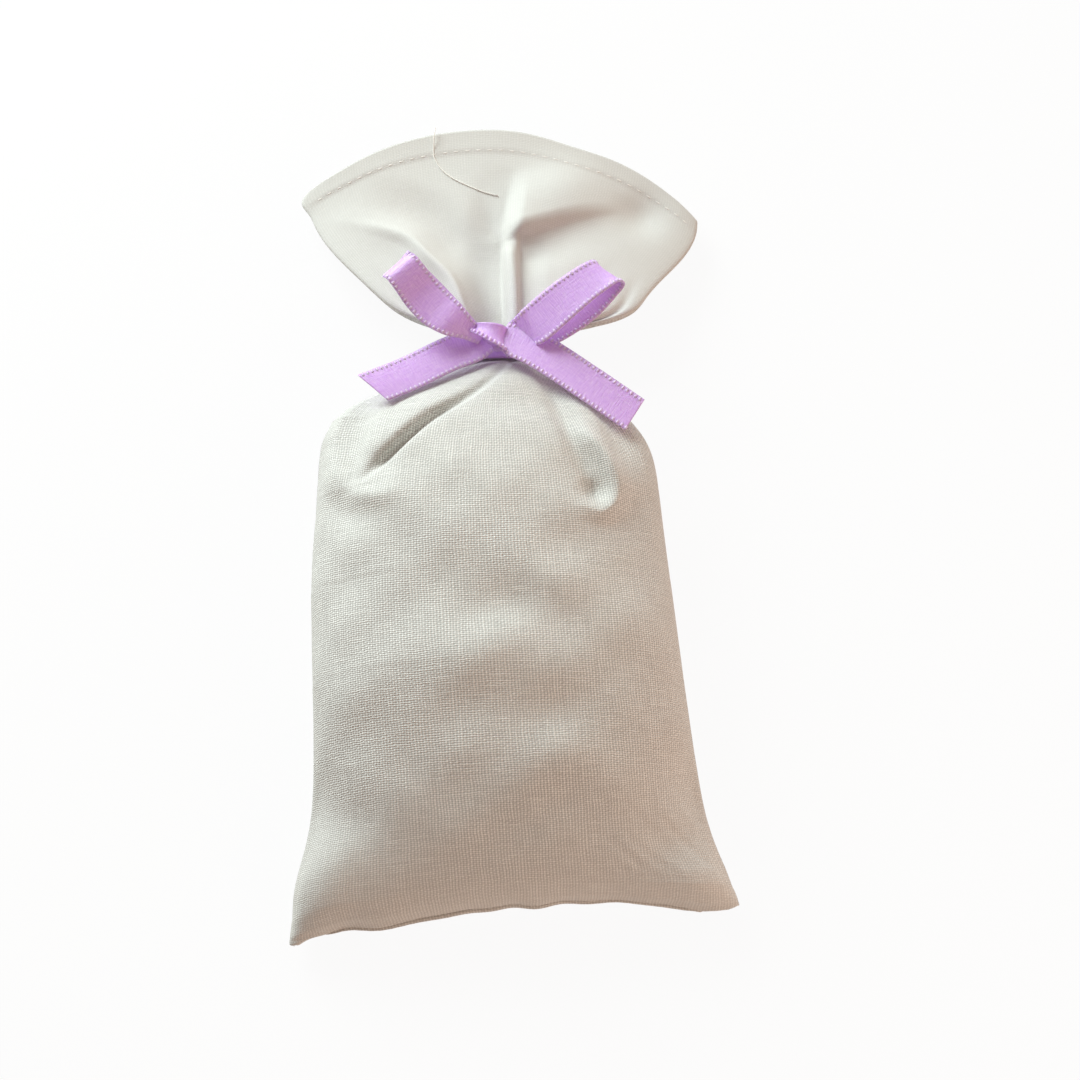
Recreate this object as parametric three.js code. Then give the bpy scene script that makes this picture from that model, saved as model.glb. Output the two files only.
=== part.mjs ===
// A lavender sachet: a sewn cotton bag filled with dried buds, drawn in at the neck by a satin
// ribbon that is tied in a bow, with a hemmed mouth that flares out above the tie.
// Millimetres. The bag lies on its back: X to the right, Y towards the mouth, Z up.
// The origin is the middle of the flat patch that the filled body rests on.
import * as THREE from "three";

// Driving dimensions: the cut cloth and its sewing
const CLOTH = 0.45;
const BAG_WIDTH = 85;
const HEM_DEPTH = 5;
const THREAD = 0.4;
const GAP = 0.3;

// Driving dimensions: the filled body
const BODY_BELOW_ORIGIN = 45.5;
const BODY_LENGTH = 105.5;
const BODY_HEIGHT = 30.5;
const EAR_HALF_WIDTH = 39.7;
const EAR_REACH = 11;
const LOWER_HALF_WIDTH = 35;
const SHOULDER_HALF_WIDTH = 30.4;
const BOTTOM_LEAN = 3;
const SHOULDER_LEAN = -2.7;
const BOTTOM_SKEW = 3.1;
const BOTTOM_DRAWN_IN = 3;
const EAR_HEIGHT = 3.5;
const BOTTOM_SEAM_HEIGHT = 7.5;
const SIDE_SEAM_HEIGHT = 12;
const BACK_PRESS = 4;
const FOLD_DEPTH = 3.2;
const FILLING_INSET = 1.2;

// Driving dimensions: the drawn neck and the flared mouth
const NECK_HALF_WIDTH = 11.5;
const NECK_RISE = 2.6;
const NECK_HEIGHT = 11;
const NECK_PLEATS = 5;
const PLEAT_DEPTH = 0.8;
const FLARE_LENGTH = 48.3;
const MOUTH_RADIUS = 52.5;
const MOUTH_HEIGHT = 4.2;
const MOUTH_OPEN = 1.3;
const MOUTH_SKEW = 2.7;
const LEFT_FULLNESS = 3.6;
const RIGHT_FULLNESS = 8.6;
const FLARE_CREST = 2.6;
const FLARE_HOLLOW = 2.8;
const FLARE_DIP = 1.4;
const FLARE_SWELL = 2.4;
const FLARE_BEND_GAP = 0.6;
const HEM_PLY = 0.4;

// Driving dimensions: the ribbon and its bow
const RIBBON_WIDTH = 7;
const RIBBON = 0.35;
const KNOT_RADIUS = 3.2;
const KNOT_HEIGHT = 3.6;
const KNOT_SHOULDER = 0.6;
const KNOT_FULLNESS = 0.7;
const KNOT_NARROWING = 0.82;
const KNOT_SLANT = -28;
const BOW_X = -1.5;
const LOOP_NOSE = 1;
const LOOP_END = 2.6;
const LOOP_RISE = 30;
const ROOT_WIDTH = 2.5;
const TAPER_LENGTH = 5.2;
const LEFT_LOOP = { length: 18.5, turn: 147, roll: 15 };
const RIGHT_LOOP = { length: 20.5, turn: 25, roll: -28 };
const LEFT_TAIL = { length: 20.5, turn: 205, tilt: 30, cut: 4 };
const RIGHT_TAIL = { length: 27, turn: -31, tilt: -30, cut: -1 };

// Where the folds of the shoulder run, as shares of the half width at each end of the fold
const FOLDS = [
  { low: -0.58, high: -0.1, spread: 0.085, start: 0.74 },
  { low: 0.66, high: 0.42, spread: 0.08, start: 0.72 },
];

// Where the folds of the flare's front run, as shares across (-1 to 1) and along (0 to 1)
const FLARE_FOLDS = [
  { lift: FLARE_CREST, spread: 0.12, path: [[-0.5, 0], [-0.5, 0.3], [-0.6, 0.45], [-0.78, 0.62]] },
  { lift: -FLARE_HOLLOW, spread: 0.15, path: [[-0.1, 0], [-0.15, 0.2], [-0.25, 0.4], [-0.55, 0.68]] },
  { lift: -FLARE_DIP, spread: 0.15, path: [[0.3, 0.05], [0.27, 0.42]] },
  { lift: FLARE_SWELL, spread: 0.14, path: [[0.12, 0.57], [0.32, 0.7]] },
];

// Shares of the body's length at which its shapes begin to change
const LOWER_CROWN = 0.42;
const UPPER_CROWN = 0.6;
const SHOULDER = 0.78;
const SHOULDER_ROUNDING = 1.2;
const NECK_SLOPE = 2.5;
const GATHER = 0.8;

// Shares of the flare's length: where its sides are fullest, where it has opened to flat layers,
// and the step into the hem
const FLARE_FULLEST = 0.12;
const FLARE_OPENED = 0.25;
const HEM_STEP = 0.003;

// Shares of the body's length that the filling takes up
const FILLING_LOW = 0.07;
const FILLING_HIGH = 0.95;

// Steps of the surfaces
const ACROSS = 28;
const ALONG_FRONT = 24;
const ALONG_BACK = 16;
const ALONG_FLARE = 9;
const SEAM_STEPS = 24;
const FILLING_RINGS = 15;
const KNOT_RINGS = 8;
const KNOT_SIDES = 24;
const TAIL_STEPS = 12;
const TAIL_WIDTH_STEPS = 4;
const HEIGHT_PASSES = 4;
const THREAD_SIDES = 6;
const WRAP_SIDES = 40;
const LOOP_SIDES = 16;

const COTTON = { color: 0xdcd6c8, roughness: 0.9, metalness: 0 };
const STITCHING = { color: 0xe6ddd4, roughness: 0.8, metalness: 0 };
const SATIN = { color: 0xcda0e4, roughness: 0.4, metalness: 0 };
const LAVENDER = { color: 0x776a94, roughness: 0.95, metalness: 0 };

// Places that follow from the sizes
const SEAM_HALF = THREAD / 2 + GAP;
const TIE_Y = BODY_LENGTH - BODY_BELOW_ORIGIN;
const WRAP_LOW = TIE_Y - RIBBON_WIDTH / 2;
const WRAP_HIGH = TIE_Y + RIBBON_WIDTH / 2;
const NECK_TOP = NECK_HEIGHT + SEAM_HALF + NECK_RISE + CLOTH;
const WRAP_TOP = NECK_TOP + GAP + RIBBON;
const FLARE_ROOT = WRAP_HIGH + FLARE_BEND_GAP;
const KNOT_Z = WRAP_TOP + GAP + KNOT_HEIGHT / 2;
const MOUTH_ANGLE = BAG_WIDTH / 2 / MOUTH_RADIUS;
const HEM_SHARE = 1 - HEM_DEPTH / FLARE_LENGTH;
const ROOT_RADIUS = KNOT_RADIUS + GAP;

const { clamp, lerp, smoothstep, degToRad } = THREE.MathUtils;

const sachet = new THREE.Group();

function addPiece(name, geometry, finish) {
  const mesh = new THREE.Mesh(geometry, new THREE.MeshStandardMaterial(finish));
  mesh.name = name;
  sachet.add(mesh);
}

function makeGeometry(points, triangles) {
  const geometry = new THREE.BufferGeometry();
  geometry.setAttribute("position", new THREE.Float32BufferAttribute(points.flat(), 3));
  geometry.setIndex(triangles.flat());
  return geometry;
}

// A shell between two surfaces of the same grid, closed by a rim along its four edges.
// Surfaces take an angle across (-90 to 90 degrees) and a share along (0 to 1).
function shell(outer, inner, across, shares, faceUp) {
  const points = [];
  const triangles = [];
  const rows = shares.length;
  for (const surface of [outer, inner]) {
    for (const share of shares) {
      for (let i = 0; i <= across; i += 1) {
        points.push(surface((i / across - 0.5) * Math.PI, share));
      }
    }
  }
  const at = (layer, row, i) => (layer * rows + row) * (across + 1) + i;
  const quad = (a, b, c, d) => {
    if (faceUp) triangles.push([a, b, c], [a, c, d]);
    else triangles.push([c, b, a], [d, c, a]);
  };
  for (let row = 0; row < rows - 1; row += 1) {
    for (let i = 0; i < across; i += 1) {
      quad(at(0, row, i), at(0, row, i + 1), at(0, row + 1, i + 1), at(0, row + 1, i));
      quad(at(1, row, i), at(1, row + 1, i), at(1, row + 1, i + 1), at(1, row, i + 1));
    }
    quad(at(0, row, 0), at(0, row + 1, 0), at(1, row + 1, 0), at(1, row, 0));
    quad(at(0, row, across), at(1, row, across), at(1, row + 1, across), at(0, row + 1, across));
  }
  for (let i = 0; i < across; i += 1) {
    quad(at(0, 0, i), at(1, 0, i), at(1, 0, i + 1), at(0, 0, i + 1));
    quad(at(0, rows - 1, i), at(0, rows - 1, i + 1), at(1, rows - 1, i + 1), at(1, rows - 1, i));
  }
  return makeGeometry(points, triangles);
}

function evenShares(steps) {
  return Array.from({ length: steps + 1 }, (_, i) => i / steps);
}

// How far along the shoulder a share of the body's length is, from 0 at its start to 1 at the tie
function shoulderShare(t) {
  return clamp((t - SHOULDER) / (1 - SHOULDER), 0, 1);
}

// Half the width of the filled body, without and with the sewn corners that stay flat as ears
function filledHalfWidth(t) {
  const sides = lerp(LOWER_HALF_WIDTH, SHOULDER_HALF_WIDTH, clamp(t / SHOULDER, 0, 1));
  const s = shoulderShare(t);
  return NECK_HALF_WIDTH + (sides - NECK_HALF_WIDTH) * (1 - s * s) ** SHOULDER_ROUNDING;
}

function halfWidth(t) {
  const ears = (EAR_HALF_WIDTH - LOWER_HALF_WIDTH) * Math.exp((-t * BODY_LENGTH) / EAR_REACH);
  return filledHalfWidth(t) + ears;
}

function lean(t) {
  const s = shoulderShare(t);
  return lerp(BOTTOM_LEAN, SHOULDER_LEAN, clamp(t / SHOULDER, 0, 1)) * (1 - s * s);
}

// The place of the cloth along Y: the bottom seam is skew, and drawn in between its ears
function bodyY(a, t) {
  const seam = -BODY_BELOW_ORIGIN + BOTTOM_SKEW * a + BOTTOM_DRAWN_IN * (1 - a * a);
  return lerp(seam, WRAP_LOW - GAP, t);
}

function swell(t) {
  const rest = 1 - clamp(t / LOWER_CROWN, 0, 1);
  return Math.sqrt(1 - rest * rest);
}

function neckShare(t) {
  return clamp((t - UPPER_CROWN) / (1 - UPPER_CROWN), 0, 1) ** NECK_SLOPE;
}

function seamHeight(a, t) {
  const bottom = lerp(BOTTOM_SEAM_HEIGHT, EAR_HEIGHT, a * a);
  const side = lerp(SIDE_SEAM_HEIGHT, NECK_HEIGHT, neckShare(t));
  return lerp(bottom, side, smoothstep(t, 0, LOWER_CROWN));
}

function frontRise(t) {
  const crown = BODY_HEIGHT - SIDE_SEAM_HEIGHT - SEAM_HALF - CLOTH;
  return lerp(crown * swell(t), NECK_RISE, neckShare(t));
}

function backDrop(t) {
  return lerp((SIDE_SEAM_HEIGHT + BACK_PRESS) * swell(t), NECK_RISE, neckShare(t));
}

// The folds that run down from the tie over the front of the shoulder
function foldDepth(a, t) {
  let depth = 0;
  for (const fold of FOLDS) {
    const run = clamp((t - fold.start) / (1 - fold.start), 0, 1);
    const offset = (a - lerp(fold.low, fold.high, run)) / fold.spread;
    depth += FOLD_DEPTH * Math.sin(Math.PI * run) * Math.exp(-offset * offset);
  }
  return depth;
}

// The small pleats that the tie gathers the cloth into, which fade out on both sides of it
function pleatDepth(angle) {
  return PLEAT_DEPTH * Math.sin(NECK_PLEATS * angle) ** 2 * Math.cos(angle);
}

// The cloth grows outwards from its inner face: up and sideways, and at the bottom also down
function bottomShare(t) {
  return (1 - clamp(t / LOWER_CROWN, 0, 1)) ** 2;
}

function frontBody(thickness) {
  return (angle, t) => {
    const a = Math.sin(angle);
    const rise = Math.cos(angle);
    const x = lean(t) + (halfWidth(t) + thickness) * a;
    const y = bodyY(a, t) - thickness * bottomShare(t);
    const pleat = pleatDepth(angle) * smoothstep(t, GATHER, 1);
    const z = seamHeight(a, t) + SEAM_HALF + (frontRise(t) - foldDepth(a, t)) * rise - pleat;
    return [x, y, z + thickness * rise];
  };
}

function backBody(thickness) {
  return (angle, t) => {
    const a = Math.sin(angle);
    const drop = Math.cos(angle);
    const x = lean(t) + (halfWidth(t) + thickness) * a;
    const y = bodyY(a, t) - thickness * bottomShare(t);
    const pleat = pleatDepth(angle) * smoothstep(t, GATHER, 1);
    const z = seamHeight(a, t) - SEAM_HALF - backDrop(t) * drop + pleat - thickness * drop;
    return [x, y, Math.max(z, CLOTH - thickness)];
  };
}

// Past the shoulder the panel runs straight through the tie, as a sleeve of the neck's section
function withSleeve(surface, bodySteps) {
  const end = bodySteps / (bodySteps + 1);
  return (angle, share) => {
    const point = surface(angle, Math.min(share / end, 1));
    if (share > end) point[1] = lerp(WRAP_LOW - GAP, WRAP_HIGH, (share - end) / (1 - end));
    return point;
  };
}

// How far the sides of the flare puff out just above the tie, more on the right than on the left
function flareFullness(a, u) {
  const run = u / FLARE_FULLEST;
  return lerp(LEFT_FULLNESS, RIGHT_FULLNESS, (a + 1) / 2) * a * run * Math.exp(1 - run);
}

// The flared mouth: a fan from the neck's section to the arc of the hem
function flareMiddle(a, u) {
  const turn = a * MOUTH_ANGLE;
  const spread = Math.sin((u * Math.PI) / 2);
  const fan = lerp(NECK_HALF_WIDTH * a, MOUTH_RADIUS * Math.sin(turn), spread);
  const x = fan + flareFullness(a, u);
  const hem = TIE_Y + FLARE_LENGTH - MOUTH_RADIUS * (1 - Math.cos(turn)) - MOUTH_SKEW * a;
  const z = lerp(NECK_HEIGHT, MOUTH_HEIGHT, smoothstep(u, 0, 1));
  return [x, lerp(FLARE_ROOT, hem, u), z];
}

// The crests and hollows of the flare's front, which fade out beside their paths
function flareLift(a, u) {
  const place = new THREE.Vector3(a, u, 0);
  const nearest = new THREE.Vector3();
  let lift = 0;
  for (const fold of FLARE_FOLDS) {
    const points = fold.path.map(([across, along]) => new THREE.Vector3(across, along, 0));
    let distance = Infinity;
    for (let i = 1; i < points.length; i += 1) {
      new THREE.Line3(points[i - 1], points[i]).closestPointToPoint(place, true, nearest);
      distance = Math.min(distance, nearest.distanceTo(place));
    }
    lift += fold.lift * Math.exp(-((distance / fold.spread) ** 2));
  }
  return lift;
}

function flare(side, thickness) {
  return (angle, u) => {
    const a = Math.sin(angle);
    const [x, y, z] = flareMiddle(a, u);
    const pleat = pleatDepth(angle) * (1 - u) ** 2;
    const opening = lerp(NECK_RISE, MOUTH_OPEN, u) * Math.cos(angle) - pleat;
    const flat = clamp(u / FLARE_OPENED, 0, 1);
    const above = lerp(Math.cos(angle), 1, flat);
    const hem = thickness > 0 || u < HEM_SHARE ? 0 : HEM_PLY * Math.cos(angle);
    const fold = side > 0 ? flareLift(a, u) * Math.cos(angle) : 0;
    const away = SEAM_HALF + opening + fold + thickness * above - hem;
    return [x + thickness * a * (1 - flat), y, z + side * away];
  };
}

// Rows of the flare, with a step where the turned hem begins
function flareShares() {
  const rows = evenShares(ALONG_FLARE - 1).map((share) => share * (HEM_SHARE - HEM_STEP));
  return [...rows, HEM_SHARE, 1];
}

function threadAlong(places) {
  const section = new THREE.Shape();
  section.absarc(0, 0, THREAD / 2, 0, 2 * Math.PI);
  const curve = new THREE.CatmullRomCurve3(places.map((p) => new THREE.Vector3(...p)));
  return new THREE.ExtrudeGeometry(section, {
    extrudePath: curve,
    steps: places.length - 1,
    curveSegments: THREAD_SIDES / 2,
  });
}

function makePanels() {
  const frontSteps = evenShares(ALONG_FRONT + 1);
  const frontOuter = withSleeve(frontBody(CLOTH), ALONG_FRONT);
  const frontInner = withSleeve(frontBody(0), ALONG_FRONT);
  addPiece("front_panel", shell(frontOuter, frontInner, ACROSS, frontSteps, true), COTTON);

  const backSteps = evenShares(ALONG_BACK + 1);
  const backOuter = withSleeve(backBody(CLOTH), ALONG_BACK);
  const backInner = withSleeve(backBody(0), ALONG_BACK);
  addPiece("back_panel", shell(backOuter, backInner, ACROSS, backSteps, false), COTTON);
}

function makeFlares() {
  const shares = flareShares();
  addPiece("front_flare", shell(flare(1, CLOTH), flare(1, 0), ACROSS, shares, true), COTTON);
  addPiece("back_flare", shell(flare(-1, CLOTH), flare(-1, 0), ACROSS, shares, false), COTTON);
}

// The stitching that closes the two sides and the bottom, between the edges of the panels
function makeSeamThreads() {
  const sides = { left: -1, right: 1 };
  for (const [side, a] of Object.entries(sides)) {
    const body = [];
    const mouth = [];
    for (let i = 1; i < SEAM_STEPS; i += 1) {
      const t = i / SEAM_STEPS;
      const x = lean(t) + a * (halfWidth(t) + CLOTH / 2);
      body.push([x, bodyY(a, t), seamHeight(a, t)]);
    }
    for (const u of evenShares(ALONG_FLARE)) mouth.push(flareMiddle(a, u));
    addPiece(`side_seam_thread_${side}`, threadAlong(body), STITCHING);
    addPiece(`flare_seam_thread_${side}`, threadAlong(mouth), STITCHING);
  }
  const bottom = [];
  for (let i = 1; i < SEAM_STEPS; i += 1) {
    const a = (2 * i) / SEAM_STEPS - 1;
    bottom.push([BOTTOM_LEAN + a * EAR_HALF_WIDTH, bodyY(a, 0), seamHeight(a, 0)]);
  }
  addPiece("bottom_seam_thread", threadAlong(bottom), STITCHING);
}

// The line of stitches that holds the turned hem, on the outer face of each side of the mouth
function makeHemThreads() {
  for (const [side, up] of Object.entries({ front: 1, back: -1 })) {
    const outer = flare(up, CLOTH);
    const places = [];
    for (let i = 1; i < ACROSS; i += 1) {
      const [x, y, z] = outer((i / ACROSS - 0.5) * Math.PI, HEM_SHARE);
      places.push([x, y, z + up * SEAM_HALF]);
    }
    addPiece(`hem_thread_${side}`, threadAlong(places), STITCHING);
  }
}

// The dried buds, as the mass that they settle into between the two panels
function makeFilling() {
  const rings = evenShares(FILLING_RINGS).map((share) => lerp(FILLING_LOW, FILLING_HIGH, share));
  const points = [];
  const triangles = [];
  for (const t of rings) {
    const half = filledHalfWidth(t) - FILLING_INSET;
    for (let i = 0; i < 2 * ACROSS; i += 1) {
      const angle = (i / ACROSS - 0.5) * Math.PI;
      const a = Math.sin(angle);
      const rise = Math.abs(Math.cos(angle));
      const front = i <= ACROSS;
      const surface = front ? frontBody(0) : backBody(0);
      const height = surface(front ? angle : Math.PI - angle, t)[2];
      const inset = FILLING_INSET * rise;
      points.push([lean(t) + half * a, bodyY(a, t), front ? height - inset : height + inset]);
    }
  }
  const ring = 2 * ACROSS;
  for (let row = 0; row < rings.length - 1; row += 1) {
    for (let i = 0; i < ring; i += 1) {
      const next = (i + 1) % ring;
      const low = row * ring;
      const high = low + ring;
      triangles.push([low + i, low + next, high + next], [low + i, high + next, high + i]);
    }
  }
  const last = (rings.length - 1) * ring;
  for (let i = 0; i < ACROSS; i += 1) {
    const across = ring - 1 - i;
    const beside = (across + 1) % ring;
    const ends = [[0, false], [last, true]];
    for (const [start, top] of ends) {
      const corners = [i, i + 1, across, beside].map((corner) => start + corner);
      const faces = [];
      if (i + 1 !== across) faces.push([corners[0], corners[2], corners[1]]);
      if (beside !== i) faces.push([corners[0], corners[3], corners[2]]);
      for (const face of faces) triangles.push(top ? face.reverse() : face);
    }
  }
  addPiece("lavender_filling", makeGeometry(points, triangles), LAVENDER);
}

// The stretch of ribbon that goes round the gathered neck
function makeWrap() {
  const clearance = CLOTH + GAP;
  const inside = [NECK_HALF_WIDTH, NECK_RISE].map((half) => half + SEAM_HALF + clearance);
  const ring = new THREE.Shape();
  ring.absellipse(0, 0, inside[0] + RIBBON, inside[1] + RIBBON, 0, 2 * Math.PI);
  const hole = new THREE.Path();
  hole.absellipse(0, 0, inside[0], inside[1], 0, 2 * Math.PI);
  ring.holes.push(hole);
  const geometry = new THREE.ExtrudeGeometry(ring, {
    depth: RIBBON_WIDTH,
    bevelEnabled: false,
    curveSegments: WRAP_SIDES / 2,
  });
  geometry.rotateX(Math.PI / 2);
  geometry.translate(0, WRAP_HIGH, NECK_HEIGHT);
  addPiece("ribbon_neck_wrap", geometry, SATIN);
}

// The knot: a rounded turn of ribbon that everything in the bow comes out of
function makeKnot() {
  const profile = [new THREE.Vector2(0, -KNOT_HEIGHT / 2)];
  for (const share of evenShares(KNOT_RINGS)) {
    const angle = (share - 0.5) * Math.PI;
    const bulge = Math.cos(angle) ** KNOT_FULLNESS;
    const radius = lerp(KNOT_RADIUS * KNOT_SHOULDER, KNOT_RADIUS, bulge);
    profile.push(new THREE.Vector2(radius, (Math.sin(angle) * KNOT_HEIGHT) / 2));
  }
  profile.push(new THREE.Vector2(0, KNOT_HEIGHT / 2));
  const geometry = new THREE.LatheGeometry(profile, KNOT_SIDES);
  geometry.rotateX(Math.PI / 2);
  geometry.scale(1, KNOT_NARROWING, 1);
  geometry.rotateZ(degToRad(KNOT_SLANT));
  geometry.translate(BOW_X, TIE_Y, KNOT_Z);
  addPiece("ribbon_knot", geometry, SATIN);
}

// The round outline of a ribbon that goes round a small nose and a wide end, as a belt does
function beltOutline(path, nose, end, distance) {
  const slope = Math.asin((end - nose) / distance);
  const quarter = Math.PI / 2 + slope;
  path.absarc(0, 0, nose, quarter, 2 * Math.PI - quarter);
  path.absarc(distance, 0, end, -quarter, quarter);
  path.closePath();
}

// Near the knot the ribbon is gathered, so its width grows from the root over a short taper
function widthShare(out) {
  return lerp(ROOT_WIDTH / RIBBON_WIDTH, 1, clamp(out / TAPER_LENGTH, 0, 1));
}

function gatherRoot(geometry, start) {
  const position = geometry.attributes.position;
  for (let i = 0; i < position.count; i += 1) {
    position.setZ(i, position.getZ(i) * widthShare(position.getX(i) - start));
  }
}

// Turns a profile of length and height, drawn in X and Y, into a stretch of ribbon at the knot
function placeAtKnot(geometry, { turn, rise, roll, radius, height }) {
  geometry.rotateX(Math.PI / 2);
  geometry.rotateX(degToRad(roll));
  geometry.rotateY(-degToRad(rise));
  geometry.translate(radius, 0, 0);
  geometry.rotateZ(degToRad(turn));
  geometry.translate(BOW_X, TIE_Y, height);
}

function makeLoop(name, { length, turn, roll }) {
  const distance = length - LOOP_END;
  const outline = new THREE.Shape();
  beltOutline(outline, LOOP_NOSE, LOOP_END, distance);
  const inside = new THREE.Path();
  beltOutline(inside, LOOP_NOSE - RIBBON, LOOP_END - RIBBON, distance);
  outline.holes.push(inside);
  const geometry = new THREE.ExtrudeGeometry(outline, {
    depth: RIBBON_WIDTH,
    bevelEnabled: false,
    curveSegments: LOOP_SIDES / 2,
  });
  geometry.translate(0, 0, -RIBBON_WIDTH / 2);
  gatherRoot(geometry, -LOOP_NOSE);
  const radius = ROOT_RADIUS + LOOP_NOSE;
  placeAtKnot(geometry, { turn, rise: LOOP_RISE, roll, radius, height: KNOT_Z });
  addPiece(name, geometry, SATIN);
}

// The height of the front panel's outer face at a place on the shoulder
function frontHeight(x, y) {
  const surface = frontBody(CLOTH);
  let a = 0;
  let t = 0;
  for (let pass = 0; pass < HEIGHT_PASSES; pass += 1) {
    const seam = bodyY(a, 0);
    t = clamp((y - seam) / (WRAP_LOW - GAP - seam), 0, 1);
    a = clamp((x - lean(t)) / (halfWidth(t) + CLOTH), -1, 1);
  }
  return surface(Math.asin(a), t)[2];
}

// A tail lies over the wrap and the shoulder: at each step it clears what is below its width
function tailHeights({ length, turn, tilt }) {
  const along = new THREE.Vector2(Math.cos(degToRad(turn)), Math.sin(degToRad(turn)));
  const heights = [];
  for (const share of evenShares(TAIL_STEPS)) {
    const out = ROOT_RADIUS + length * share;
    const width = RIBBON_WIDTH * widthShare(length * share);
    let top = 0;
    for (const place of evenShares(TAIL_WIDTH_STEPS)) {
      const side = (place - 0.5) * width * Math.cos(degToRad(tilt));
      const lift = (place - 0.5) * width * Math.sin(degToRad(tilt));
      const x = BOW_X + along.x * out - along.y * side;
      const y = TIE_Y + along.y * out + along.x * side;
      const below = y > WRAP_LOW - GAP ? WRAP_TOP : frontHeight(x, y);
      top = Math.max(top, below - lift);
    }
    heights.push(top + GAP);
  }
  return heights;
}

// The tail's end is cut aslant, so its length changes across its width
function cutAslant(geometry, length, cut) {
  const position = geometry.attributes.position;
  for (let i = 0; i < position.count; i += 1) {
    const share = position.getX(i) / length;
    position.setX(i, position.getX(i) + (share * cut * position.getZ(i)) / RIBBON_WIDTH);
  }
}

// A tail leans with the slope of the shoulder, the edge away from the mouth raised
function leanAcross(geometry, tilt) {
  const position = geometry.attributes.position;
  for (let i = 0; i < position.count; i += 1) {
    const across = position.getZ(i);
    position.setY(i, position.getY(i) - across * Math.sin(degToRad(tilt)));
    position.setZ(i, across * Math.cos(degToRad(tilt)));
  }
}

function makeTail(name, tail) {
  const { length, turn, tilt, cut } = tail;
  const heights = tailHeights(tail);
  const lows = heights.map((height, i) => Math.max(height, heights[i - 1] ?? 0, heights[i + 1] ?? 0));
  const root = lows[0];
  const outline = new THREE.Shape();
  const outs = evenShares(TAIL_STEPS).map((share) => share * length);
  lows.forEach((low, i) => outline.lineTo(outs[i], low - root));
  outs.reverse();
  lows.reverse().forEach((low, i) => outline.lineTo(outs[i], low - root + RIBBON));
  const geometry = new THREE.ExtrudeGeometry(outline, { depth: RIBBON_WIDTH, bevelEnabled: false });
  geometry.translate(0, 0, -RIBBON_WIDTH / 2);
  gatherRoot(geometry, 0);
  cutAslant(geometry, length, cut);
  leanAcross(geometry, tilt);
  placeAtKnot(geometry, { turn, rise: 0, roll: 0, radius: ROOT_RADIUS, height: root });
  addPiece(name, geometry, SATIN);
}

makePanels();
makeFlares();
makeSeamThreads();
makeHemThreads();
makeFilling();
makeWrap();
makeKnot();
makeLoop("ribbon_loop_left", LEFT_LOOP);
makeLoop("ribbon_loop_right", RIGHT_LOOP);
makeTail("ribbon_tail_left", LEFT_TAIL);
makeTail("ribbon_tail_right", RIGHT_TAIL);

export default sachet;
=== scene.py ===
"""The looks of a lavender sachet: a plump cotton bag, tied at the neck with a lilac satin bow.

Shapes are worked out in millimetres, in the frame of the construction, and scaled to metres when
their meshes are made. X is to the right, Y towards the mouth, and Z up from the table.
"""
import math

import bpy
import numpy as np
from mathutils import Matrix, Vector


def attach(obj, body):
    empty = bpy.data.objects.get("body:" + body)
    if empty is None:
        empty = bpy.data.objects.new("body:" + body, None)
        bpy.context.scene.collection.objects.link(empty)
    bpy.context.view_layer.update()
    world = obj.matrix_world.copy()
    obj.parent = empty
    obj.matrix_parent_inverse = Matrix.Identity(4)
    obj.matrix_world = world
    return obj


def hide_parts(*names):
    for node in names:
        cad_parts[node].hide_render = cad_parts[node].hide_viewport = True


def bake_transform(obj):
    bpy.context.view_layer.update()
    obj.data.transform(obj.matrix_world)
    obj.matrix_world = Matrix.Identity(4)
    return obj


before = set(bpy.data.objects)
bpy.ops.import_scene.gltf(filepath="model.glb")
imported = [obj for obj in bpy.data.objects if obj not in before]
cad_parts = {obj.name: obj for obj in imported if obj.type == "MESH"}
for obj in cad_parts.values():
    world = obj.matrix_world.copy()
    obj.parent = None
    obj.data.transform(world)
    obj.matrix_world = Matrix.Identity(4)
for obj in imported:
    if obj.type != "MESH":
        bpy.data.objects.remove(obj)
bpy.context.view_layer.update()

MM = 0.001

# The filled body
CLOTH = 0.45
BODY_BELOW_ORIGIN = 45.5
BODY_LENGTH = 105.5
BODY_HEIGHT = 30.5
EAR_HALF_WIDTH = 39.7
EAR_REACH = 11.0
LOWER_HALF_WIDTH = 35.0
SHOULDER_HALF_WIDTH = 30.4
BOTTOM_LEAN = 3.0
SHOULDER_LEAN = -2.7
BOTTOM_SKEW = 3.1
BOTTOM_DRAWN_IN = 3.0
EAR_HEIGHT = 3.5
BOTTOM_SEAM_HEIGHT = 7.5
SIDE_SEAM_HEIGHT = 12.0
BACK_PRESS = 4.0
SEAM_HALF = 0.25
LOWER_CROWN = 0.42
UPPER_CROWN = 0.6
SHOULDER = 0.78
SHOULDER_ROUNDING = 1.2
NECK_SLOPE = 2.5

# The neck and the flared mouth
BAG_WIDTH = 85.0
NECK_HALF_WIDTH = 11.5
NECK_RISE = 2.6
NECK_HEIGHT = 11.0
NECK_PINCH = 0.19
RIBBON_WIDTH = 7.0
FLARE_LENGTH = 48.3
MOUTH_RADIUS = 52.5
MOUTH_HEIGHT = 4.2
MOUTH_OPEN = 1.3
MOUTH_SKEW = 2.7
LEFT_FULLNESS = 3.2
RIGHT_FULLNESS = 7.6
FLARE_FULLEST = 0.12
HEM_DEPTH = 5.0
BACK_HEM_REACH = 1.1
BOTTOM_RECEDE = 0.8
EAR_ROUNDING = (1.4, 0.9)
TIE_Y = BODY_LENGTH - BODY_BELOW_ORIGIN
WRAP_LOW = TIE_Y - RIBBON_WIDTH / 2
WRAP_HIGH = TIE_Y + RIBBON_WIDTH / 2
FLARE_ROOT = WRAP_HIGH + 0.6
MOUTH_ANGLE = BAG_WIDTH / 2 / MOUTH_RADIUS

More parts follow.
